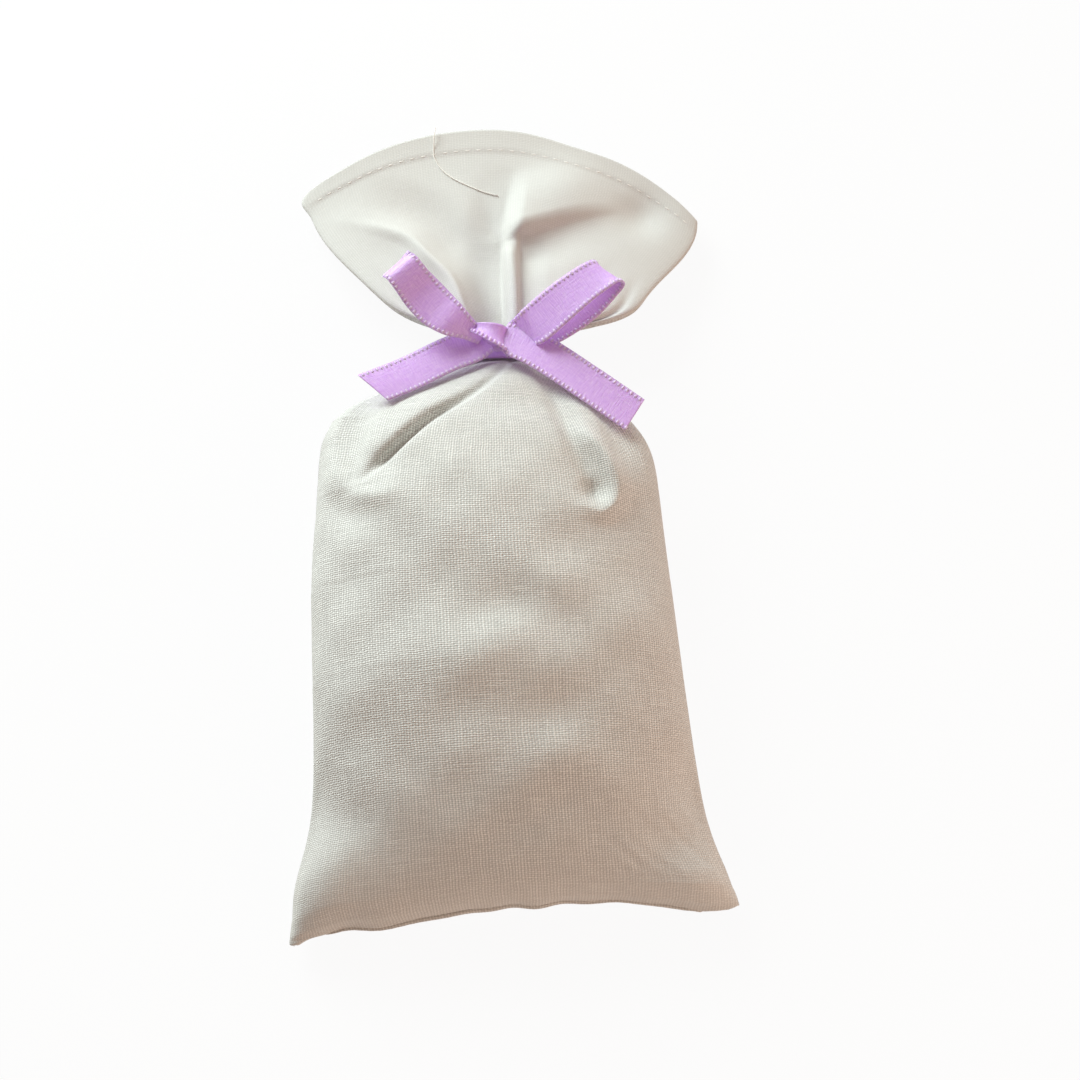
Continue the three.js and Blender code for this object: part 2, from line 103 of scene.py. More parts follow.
# Steps of the cloth: a coarse grid that is relaxed, and the finer one that is shown
ACROSS = 84
BODY_ROWS = 110
FINER = 3
SLEEVE_ROWS = 14
FLARE_ROWS = 130
CLOTH_ACROSS = 81.5
RELAX_PASSES = 260

# The relaxation: how far each pass swells the cloth, how firmly links pull, and what holds it in place
SWELL_STEP = 0.014
STRETCH_PULL = 0.9
BEND_PUSH = 0.12
BEND_REACHES = (4, 8)
PANEL_HOLD = 0.016
SEAM_HOLD = 0.12
EAR_HOLD = 0.5
EAR_HOLD_STEPS = 6
NECK_HOLD = 0.3
BODY_END = BODY_ROWS * FINER + 1
MOUTH_START = BODY_END + SLEEVE_ROWS - 1


def lerp(low, high, share):
    return low + (high - low) * share


def clamp(value, low=0.0, high=1.0):
    return np.minimum(np.maximum(value, low), high)


def smoothstep(value, low, high):
    share = clamp((value - low) / (high - low))
    return share * share * (3 - 2 * share)


def run_along(points):
    """The length along a line of points, up to each of them."""
    steps = np.linalg.norm(np.diff(points, axis=0), axis=1)
    return np.concatenate([[0], np.cumsum(steps)])


def places_at(lengths, run, points):
    """The places at some lengths along a line of points, by their run."""
    return np.stack([np.interp(lengths, run, part) for part in points.T], axis=-1)


def curve_between(p0, p1, p2, p3, s):
    """The place at a share s from p1 to p2, on a smooth curve through all four."""
    bend = 2 * p0 - 5 * p1 + 4 * p2 - p3
    twist = 3 * p1 - p0 - 3 * p2 + p3
    return 0.5 * (2 * p1 + (p2 - p0) * s + bend * s ** 2 + twist * s ** 3)


def bell(gap, radius):
    """A soft bump of height 1 that fades with the distance from its middle."""
    return np.exp(-(gap / radius) ** 2)


# The body's shape, by an angle across (-90 to 90 degrees) and a share along (0 to 1)

def shoulder_share(t):
    return clamp((t - SHOULDER) / (1 - SHOULDER))


def half_width(t):
    sides = lerp(LOWER_HALF_WIDTH, SHOULDER_HALF_WIDTH, clamp(t / SHOULDER))
    filled = NECK_HALF_WIDTH + (sides - NECK_HALF_WIDTH) * (1 - shoulder_share(t) ** 2) ** SHOULDER_ROUNDING
    ears = (EAR_HALF_WIDTH - LOWER_HALF_WIDTH) * np.exp(-t * BODY_LENGTH / EAR_REACH)
    return filled + ears


def lean(t):
    return lerp(BOTTOM_LEAN, SHOULDER_LEAN, clamp(t / SHOULDER)) * (1 - shoulder_share(t) ** 2)


def body_y(a, t):
    seam = -BODY_BELOW_ORIGIN + BOTTOM_SKEW * a + BOTTOM_DRAWN_IN * (1 - a * a)
    return lerp(seam, WRAP_LOW, t)


def swell(t):
    return np.sqrt(1 - (1 - clamp(t / LOWER_CROWN)) ** 2)


def neck_share(t):
    return clamp((t - UPPER_CROWN) / (1 - UPPER_CROWN)) ** NECK_SLOPE


def seam_height(a, t):
    bottom = lerp(BOTTOM_SEAM_HEIGHT, EAR_HEIGHT, a * a)
    side = lerp(SIDE_SEAM_HEIGHT, NECK_HEIGHT, neck_share(t))
    return lerp(bottom, side, smoothstep(t, 0, LOWER_CROWN))


def body_surface(side, angle, t):
    """Places of the front (side 1) or back (side -1) of the filled body."""
    a = np.sin(angle)
    rise = np.cos(angle)
    crown = BODY_HEIGHT - SIDE_SEAM_HEIGHT - SEAM_HALF
    if side < 0:
        crown = SIDE_SEAM_HEIGHT + BACK_PRESS
    height = lerp(crown * swell(t), NECK_RISE, neck_share(t))
    x = lean(t) + half_width(t) * a
    z = seam_height(a, t) + side * (SEAM_HALF + height * rise)
    return np.stack([x, body_y(a, t), np.maximum(z, CLOTH)], axis=-1)


def flare_surface(side, angle, u):
    """Places of the front or back of the flared mouth, from the tie (u 0) to the hem (u 1)."""
    a = np.sin(angle)
    turn = a * MOUTH_ANGLE
    x = lerp(NECK_HALF_WIDTH * a, MOUTH_RADIUS * np.sin(turn), np.sin(u * math.pi / 2))
    run = u / FLARE_FULLEST
    x = x + lerp(LEFT_FULLNESS, RIGHT_FULLNESS, (a + 1) / 2) * a * run * np.exp(1 - run)
    hem = TIE_Y + FLARE_LENGTH - MOUTH_RADIUS * (1 - np.cos(turn)) - MOUTH_SKEW * a
    middle = lerp(NECK_HEIGHT, MOUTH_HEIGHT, smoothstep(u, 0, 1))
    opening = lerp(NECK_RISE, MOUTH_OPEN, smoothstep(u, 0, 0.5)) * np.maximum(np.cos(angle), 0) ** 0.5
    return np.stack([x, lerp(FLARE_ROOT, hem, u), middle + side * opening], axis=-1)


def even_across(surface, side, t, count):
    """One row of the surface, its points spaced evenly along the cloth."""
    fine = np.linspace(-math.pi / 2, math.pi / 2, 4 * count + 1)
    places = surface(side, fine, np.full_like(fine, t))
    run = run_along(places)
    angles = np.interp(np.linspace(0, run[-1], count + 1), run, fine)
    return surface(side, angles, np.full_like(angles, t))


# The cloth of the body, relaxed over its filling

def pull_together(places, first, second, rest, stretch, squeeze):
    """Moves pairs of places towards their rest distance, by a share that differs for the two senses."""
    gap = places[second] - places[first]
    length = np.linalg.norm(gap, axis=1, keepdims=True)
    share = (length - rest[:, None]) / np.maximum(length, 1e-6)
    move = gap * np.where(share > 0, share * stretch, share * squeeze[:, None]) / 2
    places[first] += move
    places[second] -= move


def make_links(rows, columns, down, over, rest, squeeze):
    """Pairs of a grid that is closed round its columns, in groups that share no place."""
    index = np.arange(rows * columns).reshape(rows, columns)
    r, c = np.meshgrid(np.arange(rows - down), np.arange(columns), indexing="ij")
    first = index[r, c].ravel()
    second = index[r + down, (c + over) % columns].ravel()
    block = (c // max(abs(over), 1) if over else r // max(down, 1)).ravel() % 2
    slack = np.broadcast_to(squeeze[:rows - down, None], r.shape).ravel()
    size = np.full(len(first), rest)
    return [(first[block == k], second[block == k], size[block == k], slack[block == k]) for k in (0, 1)]


def outward(grid):
    """Unit normals of a grid that is closed round its columns."""
    over = np.roll(grid, -1, axis=1) - np.roll(grid, 1, axis=1)
    along = np.gradient(grid, axis=0)
    normal = np.cross(over, along)
    return normal / np.maximum(np.linalg.norm(normal, axis=2, keepdims=True), 1e-6)


def relax_body(front, back):
    """Lets the two panels swell over the filling as cloth that barely stretches, seams joined."""
    rows = front.shape[0]
    tube = np.concatenate([front, back[:, -2:0:-1]], axis=1)
    columns = tube.shape[1]
    start = tube.copy()
    middle = front[:, ACROSS // 2]
    step_along = np.linalg.norm(np.diff(middle, axis=0), axis=1).mean()
    step_across = CLOTH_ACROSS / ACROSS
    share = np.linspace(0, 1, rows)
    slack = lerp(0.25, 0.02, smoothstep(share, 0.25, 0.8))
    soft = np.full(rows, BEND_PUSH)
    slant = math.hypot(step_along, step_across)
    links = []
    links += make_links(rows, columns, 0, 1, step_across, slack)
    links += make_links(rows, columns, 1, 0, step_along, slack)
    links += make_links(rows, columns, 1, 1, slant, slack * 0.4)
    links += make_links(rows, columns, 1, -1, slant, slack * 0.4)
    for reach in BEND_REACHES:
        links += make_links(rows, columns, 0, reach, reach * step_across, soft)
        links += make_links(rows, columns, reach, 0, reach * step_along, soft)
    mirror = np.concatenate([np.arange(ACROSS + 1), np.arange(ACROSS - 1, 0, -1)])
    twin = np.where(np.arange(columns) <= ACROSS, (columns - mirror) % columns, mirror)
    swelling = (smoothstep(share, 0.04, 0.25) * (1 - smoothstep(share, 0.75, 0.95)))[:, None, None]
    hold = np.full((rows, columns), PANEL_HOLD)
    hold[:, [0, ACROSS]] = SEAM_HOLD
    hold[0] = SEAM_HOLD
    from_seam = np.minimum(mirror, ACROSS - mirror)
    near_bottom = bell(np.arange(rows), EAR_HOLD_STEPS)[:, None]
    hold += EAR_HOLD * near_bottom * bell(from_seam, EAR_HOLD_STEPS)[None, :]
    hold += smoothstep(share, 0.8, 0.98)[:, None] * NECK_HOLD
    for _ in range(RELAX_PASSES):
        tube += outward(tube) * swelling * SWELL_STEP
        flat = tube.reshape(-1, 3)
        for first, second, rest, squeeze in links:
            pull_together(flat, first, second, rest, STRETCH_PULL, squeeze)
        tube += (start - tube) * hold[..., None]
        tube[0] = (tube[0] + tube[0, twin]) / 2
        tube[..., 2] = np.maximum(tube[..., 2], CLOTH)
    tube[-1] = start[-1]
    relaxed_back = np.concatenate([tube[:, :1], tube[:, :ACROSS - 1:-1]], axis=1)
    return tube[:, :ACROSS + 1], relaxed_back


def calm(grid):
    """Smooths the buckles that the drawn neck leaves over the chest, and those beside the ears."""
    rows, columns = grid.shape[:2]
    reach = 16
    padded = np.pad(grid, ((0, 0), (reach, reach), (0, 0)), mode="reflect", reflect_type="odd")
    weights = np.exp(-(np.arange(-reach, reach + 1) / 7.0) ** 2 / 2)
    smooth = sum(weight * padded[:, k:k + columns] for k, weight in enumerate(weights)) / weights.sum()
    t = np.linspace(0, 1, rows)[:, None]
    a = np.abs(np.linspace(-1, 1, columns))[None, :]
    chest = smoothstep(t, 0.45, 0.7) * (1 - smoothstep(a, 0.5, 0.85))
    ears = (1 - smoothstep(t, 0.2, 0.35)) * smoothstep(a, 0.45, 0.65) * (1 - smoothstep(a, 0.9, 1))
    return lerp(grid, smooth, np.maximum(chest, 0.7 * ears)[..., None])


def finer(grid, times, axis):
    """The grid with more steps along one axis, on smooth curves through its points."""
    grid = np.moveaxis(grid, axis, 0)
    padded = np.concatenate([2 * grid[:1] - grid[1:2], grid, 2 * grid[-1:] - grid[-2:-1]])
    p0, p1, p2, p3 = padded[:-3], padded[1:-2], padded[2:-1], padded[3:]
    parts = [curve_between(p0, p1, p2, p3, s) for s in np.arange(times) / times]
    woven = np.stack(parts, axis=1).reshape((-1,) + grid.shape[1:])
    return np.moveaxis(np.concatenate([woven, grid[-1:]]), 0, axis)


def cloth_grids():
    """The grids of the front and back panel, from the bottom seam through the tie to the hem."""
    fine = np.linspace(0, 1, 8 * BODY_ROWS)
    middle = body_surface(1, np.zeros_like(fine), fine)
    run = run_along(middle)
    shares = np.interp(np.linspace(0, run[-1], BODY_ROWS + 1), run, fine)
    sides = {}
    for side in (1, -1):
        sides[side] = np.array([even_across(body_surface, side, t, ACROSS) for t in shares])
    sides[1], sides[-1] = relax_body(sides[1], sides[-1])
    sides[1] = calm(sides[1])
    grids = []
    for side in (1, -1):
        body = finer(finer(sides[side], FINER, 0), FINER, 1)
        mouth_shares = np.linspace(0, 1, FLARE_ROWS + 1)
        mouth = [even_across(flare_surface, side, u, ACROSS * FINER) for u in mouth_shares]
        sleeve_shares = np.linspace(0, 1, SLEEVE_ROWS + 1)[1:-1]
        sleeve = [lerp(body[-1], mouth[0], share) for share in sleeve_shares]
        grids.append(np.concatenate([body, sleeve, mouth]))
    return grids


# Folds, drawn as lines over the cloth with a profile across them

def smooth_line(points, count=90):
    """A smooth curve through the points, evenly spaced."""
    points = np.asarray(points, dtype=float)
    padded = np.vstack([2 * points[0] - points[1], points, 2 * points[-1] - points[-2]])
    places = []
    for i in range(len(points) - 1):
        places += [curve_between(*padded[i:i + 4], s) for s in np.linspace(0, 1, 24, endpoint=False)]
    places.append(points[-1])
    places = np.array(places)
    run = run_along(places)
    return places_at(np.linspace(0, run[-1], count), run, places)


# Past a line's ends, this length counts as a share of 1, and this many places are measured at once
RUN_OUT = 20.0
BATCH = 8000


def beside(grid, points):
    """For each place in plan: how far it is to the right of the line, and its share along it."""
    line = smooth_line(points)
    along = np.gradient(line, axis=0)
    along /= np.linalg.norm(along, axis=1, keepdims=True)
    flat = grid[..., :2].reshape(-1, 2)
    offset = np.empty(len(flat))
    share = np.empty(len(flat))
    for start in range(0, len(flat), BATCH):
        part = flat[start:start + BATCH]
        gaps = part[:, None, :] - line[None, :, :]
        nearest = np.argmin((gaps ** 2).sum(-1), axis=1)
        gap = gaps[np.arange(len(part)), nearest]
        way = along[nearest]
        at_end = (nearest == 0) | (nearest == len(line) - 1)
        beyond = np.where(at_end, (gap * way).sum(-1) / RUN_OUT, 0)
        offset[start:start + BATCH] = gap[:, 0] * way[:, 1] - gap[:, 1] * way[:, 0]
        share[start:start + BATCH] = nearest / (len(line) - 1) + beyond
    return offset.reshape(grid.shape[:2]), share.reshape(grid.shape[:2])


def softened(knots, step, soften):
    """A line through (place, value) knots with its corners rounded, as fine places and values."""
    places, values = np.array(knots, dtype=float).T
    count = round(3 * soften / step)
    fine = np.arange(places[0] - 3 * soften, places[-1] + 3 * soften + step, step)
    weights = np.exp(-(np.arange(-count, count + 1) * step / soften) ** 2)
    padded = np.pad(np.interp(fine, places, values), count, mode="edge")
    return fine, np.convolve(padded, weights / weights.sum(), mode="valid")


def profile(offset, knots, soften):
    """A cross profile through (offset, height) knots: crisp near its line, rounder further out."""
    crisp = np.interp(offset, *softened(knots, 0.1, soften))
    rounder = np.interp(offset, *softened(knots, 0.1, 1.6))
    return lerp(crisp, rounder, smoothstep(np.abs(offset), 1.5, 5))


def fade(share, knots):
    """How much of a fold is left at a share along its line, through (share, value) knots."""
    return np.interp(share, *softened(knots, 0.01, 0.05))


# Each fold of the cloth: its line in plan, (offset, height) across it, (share, value) along it, and how soft
# its profile is near the line. The tube-like fold at the left of the shoulder, with the hollow and the rim
# round its end, then the hooked fold at the right
LEFT_GROOVE = (
    [(1.2, 54.6), (-1.8, 50.4), (-6.9, 45.9), (-11.3, 42.5), (-15.7, 38.2), (-19.2, 34.8), (-23.2, 31.2)],
    [(-13, 0), (-6, 0.5), (-2.2, 0.9), (-0.7, 0.8), (0.0, -2.1), (0.4, -2.2), (0.8, -1.4), (1.5, 0.3),
     (2.3, 1.1), (3.3, 1.2), (6, 0.4), (10, -0.5), (15, 0)],
    [(-0.1, 0.2), (0.1, 0.25), (0.3, 0.45), (0.45, 0.8), (0.7, 1.1), (0.82, 0.95), (0.92, 0.4), (1.0, 0.1),
     (1.08, 0)], 0.3)
LEFT_HOLLOW = (
    [(-30.5, 30.5), (-27.5, 26.0), (-24.0, 22.5), (-19.5, 20.0)],
    [(-5, 0), (-1, -1.1), (0.5, -1.2), (5, 0)],
    [(-0.1, 0), (0.2, 1), (0.6, 0.6), (1.1, 0)], 0.8)
LEFT_RIM = (
    [(-28.0, 37.0), (-28.2, 33.0), (-26.2, 29.2), (-22.2, 27.4), (-17.5, 27.8)],
    [(-3.5, 0), (0, 2.0), (3.5, 0)],
    [(-0.1, 0), (0.25, 0.8), (0.5, 1), (0.75, 0.9), (1.1, 0)], 0.8)
RIGHT_GROOVE = (
    [(7.5, 55.5), (9.2, 49.5), (10.6, 45.1), (12.3, 40.7), (13.6, 36.8), (15.2, 33.4), (16.3, 31.0),
     (16.8, 28.6)],
    [(-13, 0), (-9, 0.5), (-6, 1.0), (-3.5, 1.2), (-1.0, -0.6), (0.1, -1.4), (1.0, -1.1), (2.4, 0), (5, 0.2),
     (9, 0)],
    [(-0.1, 0.3), (0.1, 0.4), (0.3, 0.7), (0.6, 1), (0.85, 1), (1.0, 0.6), (1.12, 0)], 0.6)
RIGHT_HOOK = (
    [(14.0, 40.4), (17.7, 36.8), (20.0, 33.4), (21.4, 29.6), (20.6, 26.2), (18.1, 24.2), (14.8, 24.8)],
    [(-2.7, 0), (0, 2.4), (2.7, 0)],
    [(-0.1, 0), (0.15, 0.6), (0.4, 1), (0.75, 0.9), (1.1, 0)], 0.5)
BODY_FOLDS = [LEFT_GROOVE, LEFT_HOLLOW, LEFT_RIM, RIGHT_GROOVE, RIGHT_HOOK]

# The folds of the flared mouth: the pleat above the knot, the valley that carries it on, the crease that
# leaves it to the right, and the ridge that comes in from the left
PLEAT = (
    [(1.2, 63.0), (1.1, 66.6), (0.8, 75.0), (0.7, 84.0)],
    [(-8, 0), (-3.5, -0.6), (-0.7, -0.8), (0.1, 0.5), (1.2, 0.8), (2.2, 0.6), (2.9, -0.6), (4.2, -0.5),
     (8, 0)],
    [(0, 1), (0.8, 1), (1.05, 0)], 0.3)
VALLEY = (
    [(0.7, 83.0), (1.0, 87.0), (1.5, 91.0), (2.3, 97.0)],
    [(-8, 0), (-3.5, -0.6), (-0.7, -0.8), (1.2, 0.2), (2.8, 0.7), (6, 0.3), (10, 0)],
    [(-0.16, 0), (0.14, 1), (0.3, 1), (0.7, 0.6), (1, 0.2), (1.15, 0)], 0.6)
CREASE = (
    [(1.0, 84.0), (3.5, 84.9), (7.3, 86.4), (12.0, 88.2), (17.5, 89.8)],
    [(-13, 0), (-6, 0.45), (-1.6, 0.75), (-0.2, 0.5), (1.1, -0.3), (3, -0.5), (6, -0.35), (10, 0)],
    [(-0.09, 0), (0.03, 0.9), (0.3, 1), (0.65, 0.8), (1, 0.45), (1.3, 0)], 0.6)
RIDGE = (
    [(-31.0, 88.6), (-24.0, 86.6), (-18.0, 83.8), (-13.7, 78.8), (-9.2, 73.4), (-6.6, 67.0), (-6.0, 63.0)],
    [(-12, 0), (-7.5, -0.9), (-4.5, -0.8), (-1.2, 0.6), (-0.1, 1.3), (0.6, 1.2), (2.2, 0.3), (4.5, -0.1),
     (8, 0)],
    [(-0.15, 0), (0.1, 0.1), (0.3, 0.5), (0.5, 1), (0.8, 1), (1, 0.8)], 0.5)
MOUTH_FOLDS = [PLEAT, VALLEY, CREASE, RIDGE]
MOUTH_RELIEF = 2.3

# Soft bumps and, where the height is negative, dimples: the place in plan, the radius in X and in Y, and the
# height. The ends of both shoulder folds come first, then the lumps of the filling, then the ears
BODY_MOUNDS = [
    ((-20.2, 34.4), (2.8, 2.8), -0.9),
    ((16.7, 28.4), (2.0, 2.0), -1.5),
    ((8.0, 13.0), (7.2, 4.5), 0.8),
    ((2.0, 6.0), (7.2, 4.0), -0.8),
    ((-2.0, -2.0), (10.8, 6.0), 1.2),
    ((4.0, -11.5), (10.0, 5.0), -1.0),
    ((8.0, -20.0), (12.0, 6.0), 0.8),
    ((-24.0, -28.0), (6.4, 4.0), -0.5),
    ((33.5, -24.0), (5.0, 5.0), -1.0),
    ((-29.5, -24.0), (5.5, 5.5), -1.3),
    ((-31.0, -39.5), (8.0, 8.0), 2.6),
    ((36.5, -38.0), (8.0, 8.0), 2.4)]
MOUTH_MOUNDS = [((12.0, 95.0), (7.0, 7.0), 0.7), ((27.0, 90.0), (4.5, 4.5), -0.7)]

# Where the tie gathers small pleats, as places across the flat cloth, with their depths
GATHERS = [(6, 0.7), (13, 0.9), (19, 0.6), (26, 0.3), (56, 0.2), (63, 0.5), (71, 0.9), (79, 0.7)]


def fold_lift(grid, folds, mounds):
    """How far the folds and mounds raise each place of the cloth."""
    lift = np.zeros(grid.shape[:2])
    for line, knots, fading, soften in folds:
        offset, share = beside(grid, line)
        lift += profile(offset, knots, soften) * fade(share, fading)
    for place, radii, height in mounds:
        gap = (grid[..., :2] - np.array(place)) / np.array(radii)
        lift += height * np.exp(-(gap ** 2).sum(-1))
    return lift


def ripples(grid, seed, size, wave_x, wave_y):
    """Soft irregular waves in plan, from a few slanted cosines."""
    random = np.random.default_rng(seed)
    lift = np.zeros(grid.shape[:2])
    for _ in range(9):
        turn_x = 2 * math.pi / wave_x * random.uniform(-1, 1)
        turn_y = 2 * math.pi / wave_y * random.uniform(0.5, 1)
        lift += np.cos(grid[..., 0] * turn_x + grid[..., 1] * turn_y + random.uniform(0, 2 * math.pi))
    return lift * size / 3


def gathered(columns):
    """The depth of the small pleats across the cloth, where the tie draws it in."""
    across = np.linspace(0, BAG_WIDTH, columns)
    return sum(depth * bell(across - place, 1.7) for place, depth in GATHERS)


def fold_body(grid):
    """Raises and lowers the front of the body along its folds, and lets it bulge below the knot."""
    x, y = grid[..., 0], grid[..., 1]
    bulge = 2.0 * bell(x - 1.5, 7) * smoothstep(y, 44, 52.5) * (1 - smoothstep(y, 55, 58))
    return fold_lift(grid, BODY_FOLDS, BODY_MOUNDS) + bulge


# Places where the edges are moved out: the side, how far, the place in Y, and the radii below and above it
EDGE_SHIFTS = [(-1, 4.8, 47.5, 10, 4.5), (-1, 2.0, -40, 9, 9), (1, 1.2, -38, 5, 5), (-1, 0.8, 18, 24, 24)]
EDGE_START = {-1: 0.1, 1: 0.3}


def fill_out(body, a):
    """Moves the edges out: the full left shoulder, and the corners above the ears."""
    for side, shift, place, below, above in EDGE_SHIFTS:
        gap = body[..., 1] - place
        near = bell(gap, np.where(gap > 0, above, below))
        body[..., 0] += side * shift * smoothstep(side * a, EDGE_START[side], 1) * near


# Small waves of the bottom edge: places in X, radii, and how far each is drawn in
BOTTOM_WAVES = [(-36.4, 2.5, -1.0), (-27.0, 4.0, 1.1), (-20.5, 4.0, -0.5), (-11.6, 5.0, 1.0),
                (10.5, 5.5, 1.2), (20.0, 5.0, 1.0), (30.0, 5.5, 0.9)]


# Soft waves of the cloth: a seed, the size, and the wave lengths in X and Y
BODY_RIPPLES = [(5, 0.32, 45.0, 26.0), (21, 0.26, 13.0, 11.0)]
MOUTH_RIPPLE = (8, 0.12, 20.0, 40.0)

# How far in the side seams hold the cloth, as a share of its half width, and how far up the bottom seam
# puckers it; the step of the folded hem
SEAM_SHARE = 0.12
PUCKER_REACH = 4.5
HEM_STEP = 0.25


def shape_panel(grid, side):
    """Adds the folds, the gathers, the puckered seam and the hem to a panel's grid."""
    body, mouth = grid[:BODY_END], grid[MOUTH_START:]
    columns = grid.shape[1]
    a = np.linspace(-1, 1, columns)[None, :]
    t = np.linspace(0, 1, len(body))[:, None]
    u = np.linspace(0, 1, len(mouth))[:, None]
    edge = clamp((1 - np.abs(a)) / SEAM_SHARE)
    gather = gathered(columns)[None, :] * edge
    filled = edge * smoothstep(t, 0.05, 0.2) * (1 - smoothstep(t, 0.7, 0.9))
    body_lift = sum(ripples(body, *wave) for wave in BODY_RIPPLES) * filled
    mouth_lift = ripples(mouth, *MOUTH_RIPPLE) * edge
    if side > 0:
        inside = smoothstep(1 - np.abs(a), 0, 0.1)
        body_lift += fold_body(body) * inside * smoothstep(t, 0, 0.07)
        mouth_lift += fold_lift(mouth, MOUTH_FOLDS, MOUTH_MOUNDS) * MOUTH_RELIEF * inside
    body_lift -= gather * smoothstep(t, 0.93, 1.0) * side
    mouth_lift -= gather * (1 - smoothstep(u, 0, 0.45)) * side
    hem_line = 1 - HEM_DEPTH / FLARE_LENGTH
    hem = HEM_STEP * smoothstep(u, hem_line - 0.02, hem_line + 0.02)
    mouth_lift += side * hem * edge
    if side < 0:
        mouth[..., 1] += BACK_HEM_REACH * smoothstep(u, 0.8, 1) * edge
    body[..., 2] += body_lift
    mouth[..., 2] += mouth_lift
    grid[BODY_END:MOUTH_START, :, 2] -= gather * side
    ripple = np.cos(a * 21 + 2 * np.sin(a * 5))
    pucker = np.cos(a * 9.5 + 1.1 + np.sin(a * 4)) * 0.55 + ripple * 0.22
    near_seam = np.exp(-t * BODY_LENGTH / PUCKER_REACH)
    body[..., 1] += pucker * near_seam * edge
    body[..., 2] += side * 0.35 * ripple * near_seam * edge * smoothstep(t, 0, 0.04)
    fill_out(body, a)
    tip = smoothstep(np.abs(a), 0.93, 1) * np.exp(-t * BODY_LENGTH / 2.2)
    body[..., 0] -= EAR_ROUNDING[0] * tip * np.sign(a)
    body[..., 1] += EAR_ROUNDING[1] * tip
    for place, radius, shift in BOTTOM_WAVES:
        body[..., 1] += shift * bell(body[..., 0] - place, radius) * near_seam
    mouth[..., 1] -= 0.9 * bell(mouth[..., 0] - 14, 8) * smoothstep(u, 0.6, 1)
    mouth[..., 0] -= 1.4 * smoothstep(-a, 0.75, 1) * bell(u - 0.95, 0.07)
    if side < 0:
        drop = clamp(body[:1, :, 2] - body[..., 2], 0, 7)
        body[..., 1] += BOTTOM_RECEDE * drop * (1 - smoothstep(t, 0, 0.15))
    grid[..., 0] *= 1 - NECK_PINCH * bell(grid[..., 1] - TIE_Y, 4.5)
    grid[..., 2] = np.maximum(grid[..., 2], CLOTH)


def add_mesh(name, points, faces, material, smooth=True):
    """A mesh object from points in millimetres."""
    mesh = bpy.data.meshes.new(name)
    mesh.from_pydata([tuple(p) for p in np.asarray(points) * MM], [], faces)
    mesh.materials.append(material)
    mesh.polygons.foreach_set("use_smooth", [smooth] * len(mesh.polygons))
    obj = bpy.data.objects.new(name, mesh)
    bpy.context.scene.collection.objects.link(obj)
    return obj


BALL_SIDES = 8
BALL_RINGS = 5


def ball():
    """Points and faces of a small round bead of unit radius, long in X when it is scaled."""
    points = [(-1, 0, 0)]
    for ring in range(1, BALL_RINGS):
        tilt = math.pi * ring / BALL_RINGS
        for i in range(BALL_SIDES):
            turn = 2 * math.pi * i / BALL_SIDES
            points.append((-math.cos(tilt), math.sin(tilt) * math.cos(turn), math.sin(tilt) * math.sin(turn)))
    points.append((1, 0, 0))
    last = len(points) - 1
    faces = []
    for i in range(BALL_SIDES):
        after = (i + 1) % BALL_SIDES
        faces.append((0, 1 + after, 1 + i))
        for ring in range(BALL_RINGS - 2):
            low = 1 + ring * BALL_SIDES
            high = low + BALL_SIDES
            faces.append((low + i, low + after, high + after, high + i))
        top = 1 + (BALL_RINGS - 2) * BALL_SIDES
        faces.append((top + i, top + after, last))
    return np.array(points), faces


def beads(places, along, across, up, size):
    """Many small beads, each with its own directions and half sizes (along, across, up)."""
    shape, shape_faces = ball()
    axes = np.stack([along * size[0], across * size[1], up * size[2]], axis=1)
    points = places[:, None, :] + np.einsum("vk,nkc->nvc", shape, axes)
    faces = []
    for n in range(len(places)):
        start = n * len(shape)
        faces += [tuple(start + corner for corner in face) for face in shape_faces]
    return points.reshape(-1, 3), faces


def unit(vectors):
    return vectors / np.maximum(np.linalg.norm(vectors, axis=-1, keepdims=True), 1e-9)


def spaced(points, pitch):
    """Places every pitch along a line of points, with the line's direction there."""
    run = run_along(points)
    even = np.arange(pitch / 2, run[-1], pitch)
    way = places_at(even, run, np.gradient(points[:, :3], axis=0))
    return places_at(even, run, points), unit(way)


def grid_faces(rows, columns, flip=False):
    faces = []
    for r in range(rows - 1):
        for c in range(columns - 1):
            a = r * columns + c
            quad = (a, a + 1, a + columns + 1, a + columns)
            faces.append(quad[::-1] if flip else quad)
    return faces


def tube_faces(count, around):
    """Faces of a closed tube, for rings of points one after the other: the two ends, then the sides."""
    faces = [tuple(range(around))[::-1], tuple((count - 1) * around + i for i in range(around))]
    for low in range(0, (count - 1) * around, around):
        for i in range(around):
            after = (i + 1) % around
            faces.append((low + i, low + after, low + around + after, low + around + i))
    return faces


def set_uv(obj, uv):
    """A UV map named Weave, in millimetres of flat cloth, from one pair per vertex."""
    layer = obj.data.uv_layers.new(name="Weave")
    corners = np.empty(len(obj.data.loops), dtype=np.int32)
    obj.data.loops.foreach_get("vertex_index", corners)
    layer.data.foreach_set("uv", np.asarray(uv, dtype=np.float32)[corners].ravel())


# Materials

def srgb(red, green, blue):
    """A colour given in 8-bit sRGB, as linear RGBA."""
    def linear(value):
        value /= 255
        return value / 12.92 if value <= 0.04045 else ((value + 0.055) / 1.055) ** 2.4
    return (linear(red), linear(green), linear(blue), 1.0)


def darker(colour, share):
    return tuple(part * share for part in colour[:3]) + (1.0,)


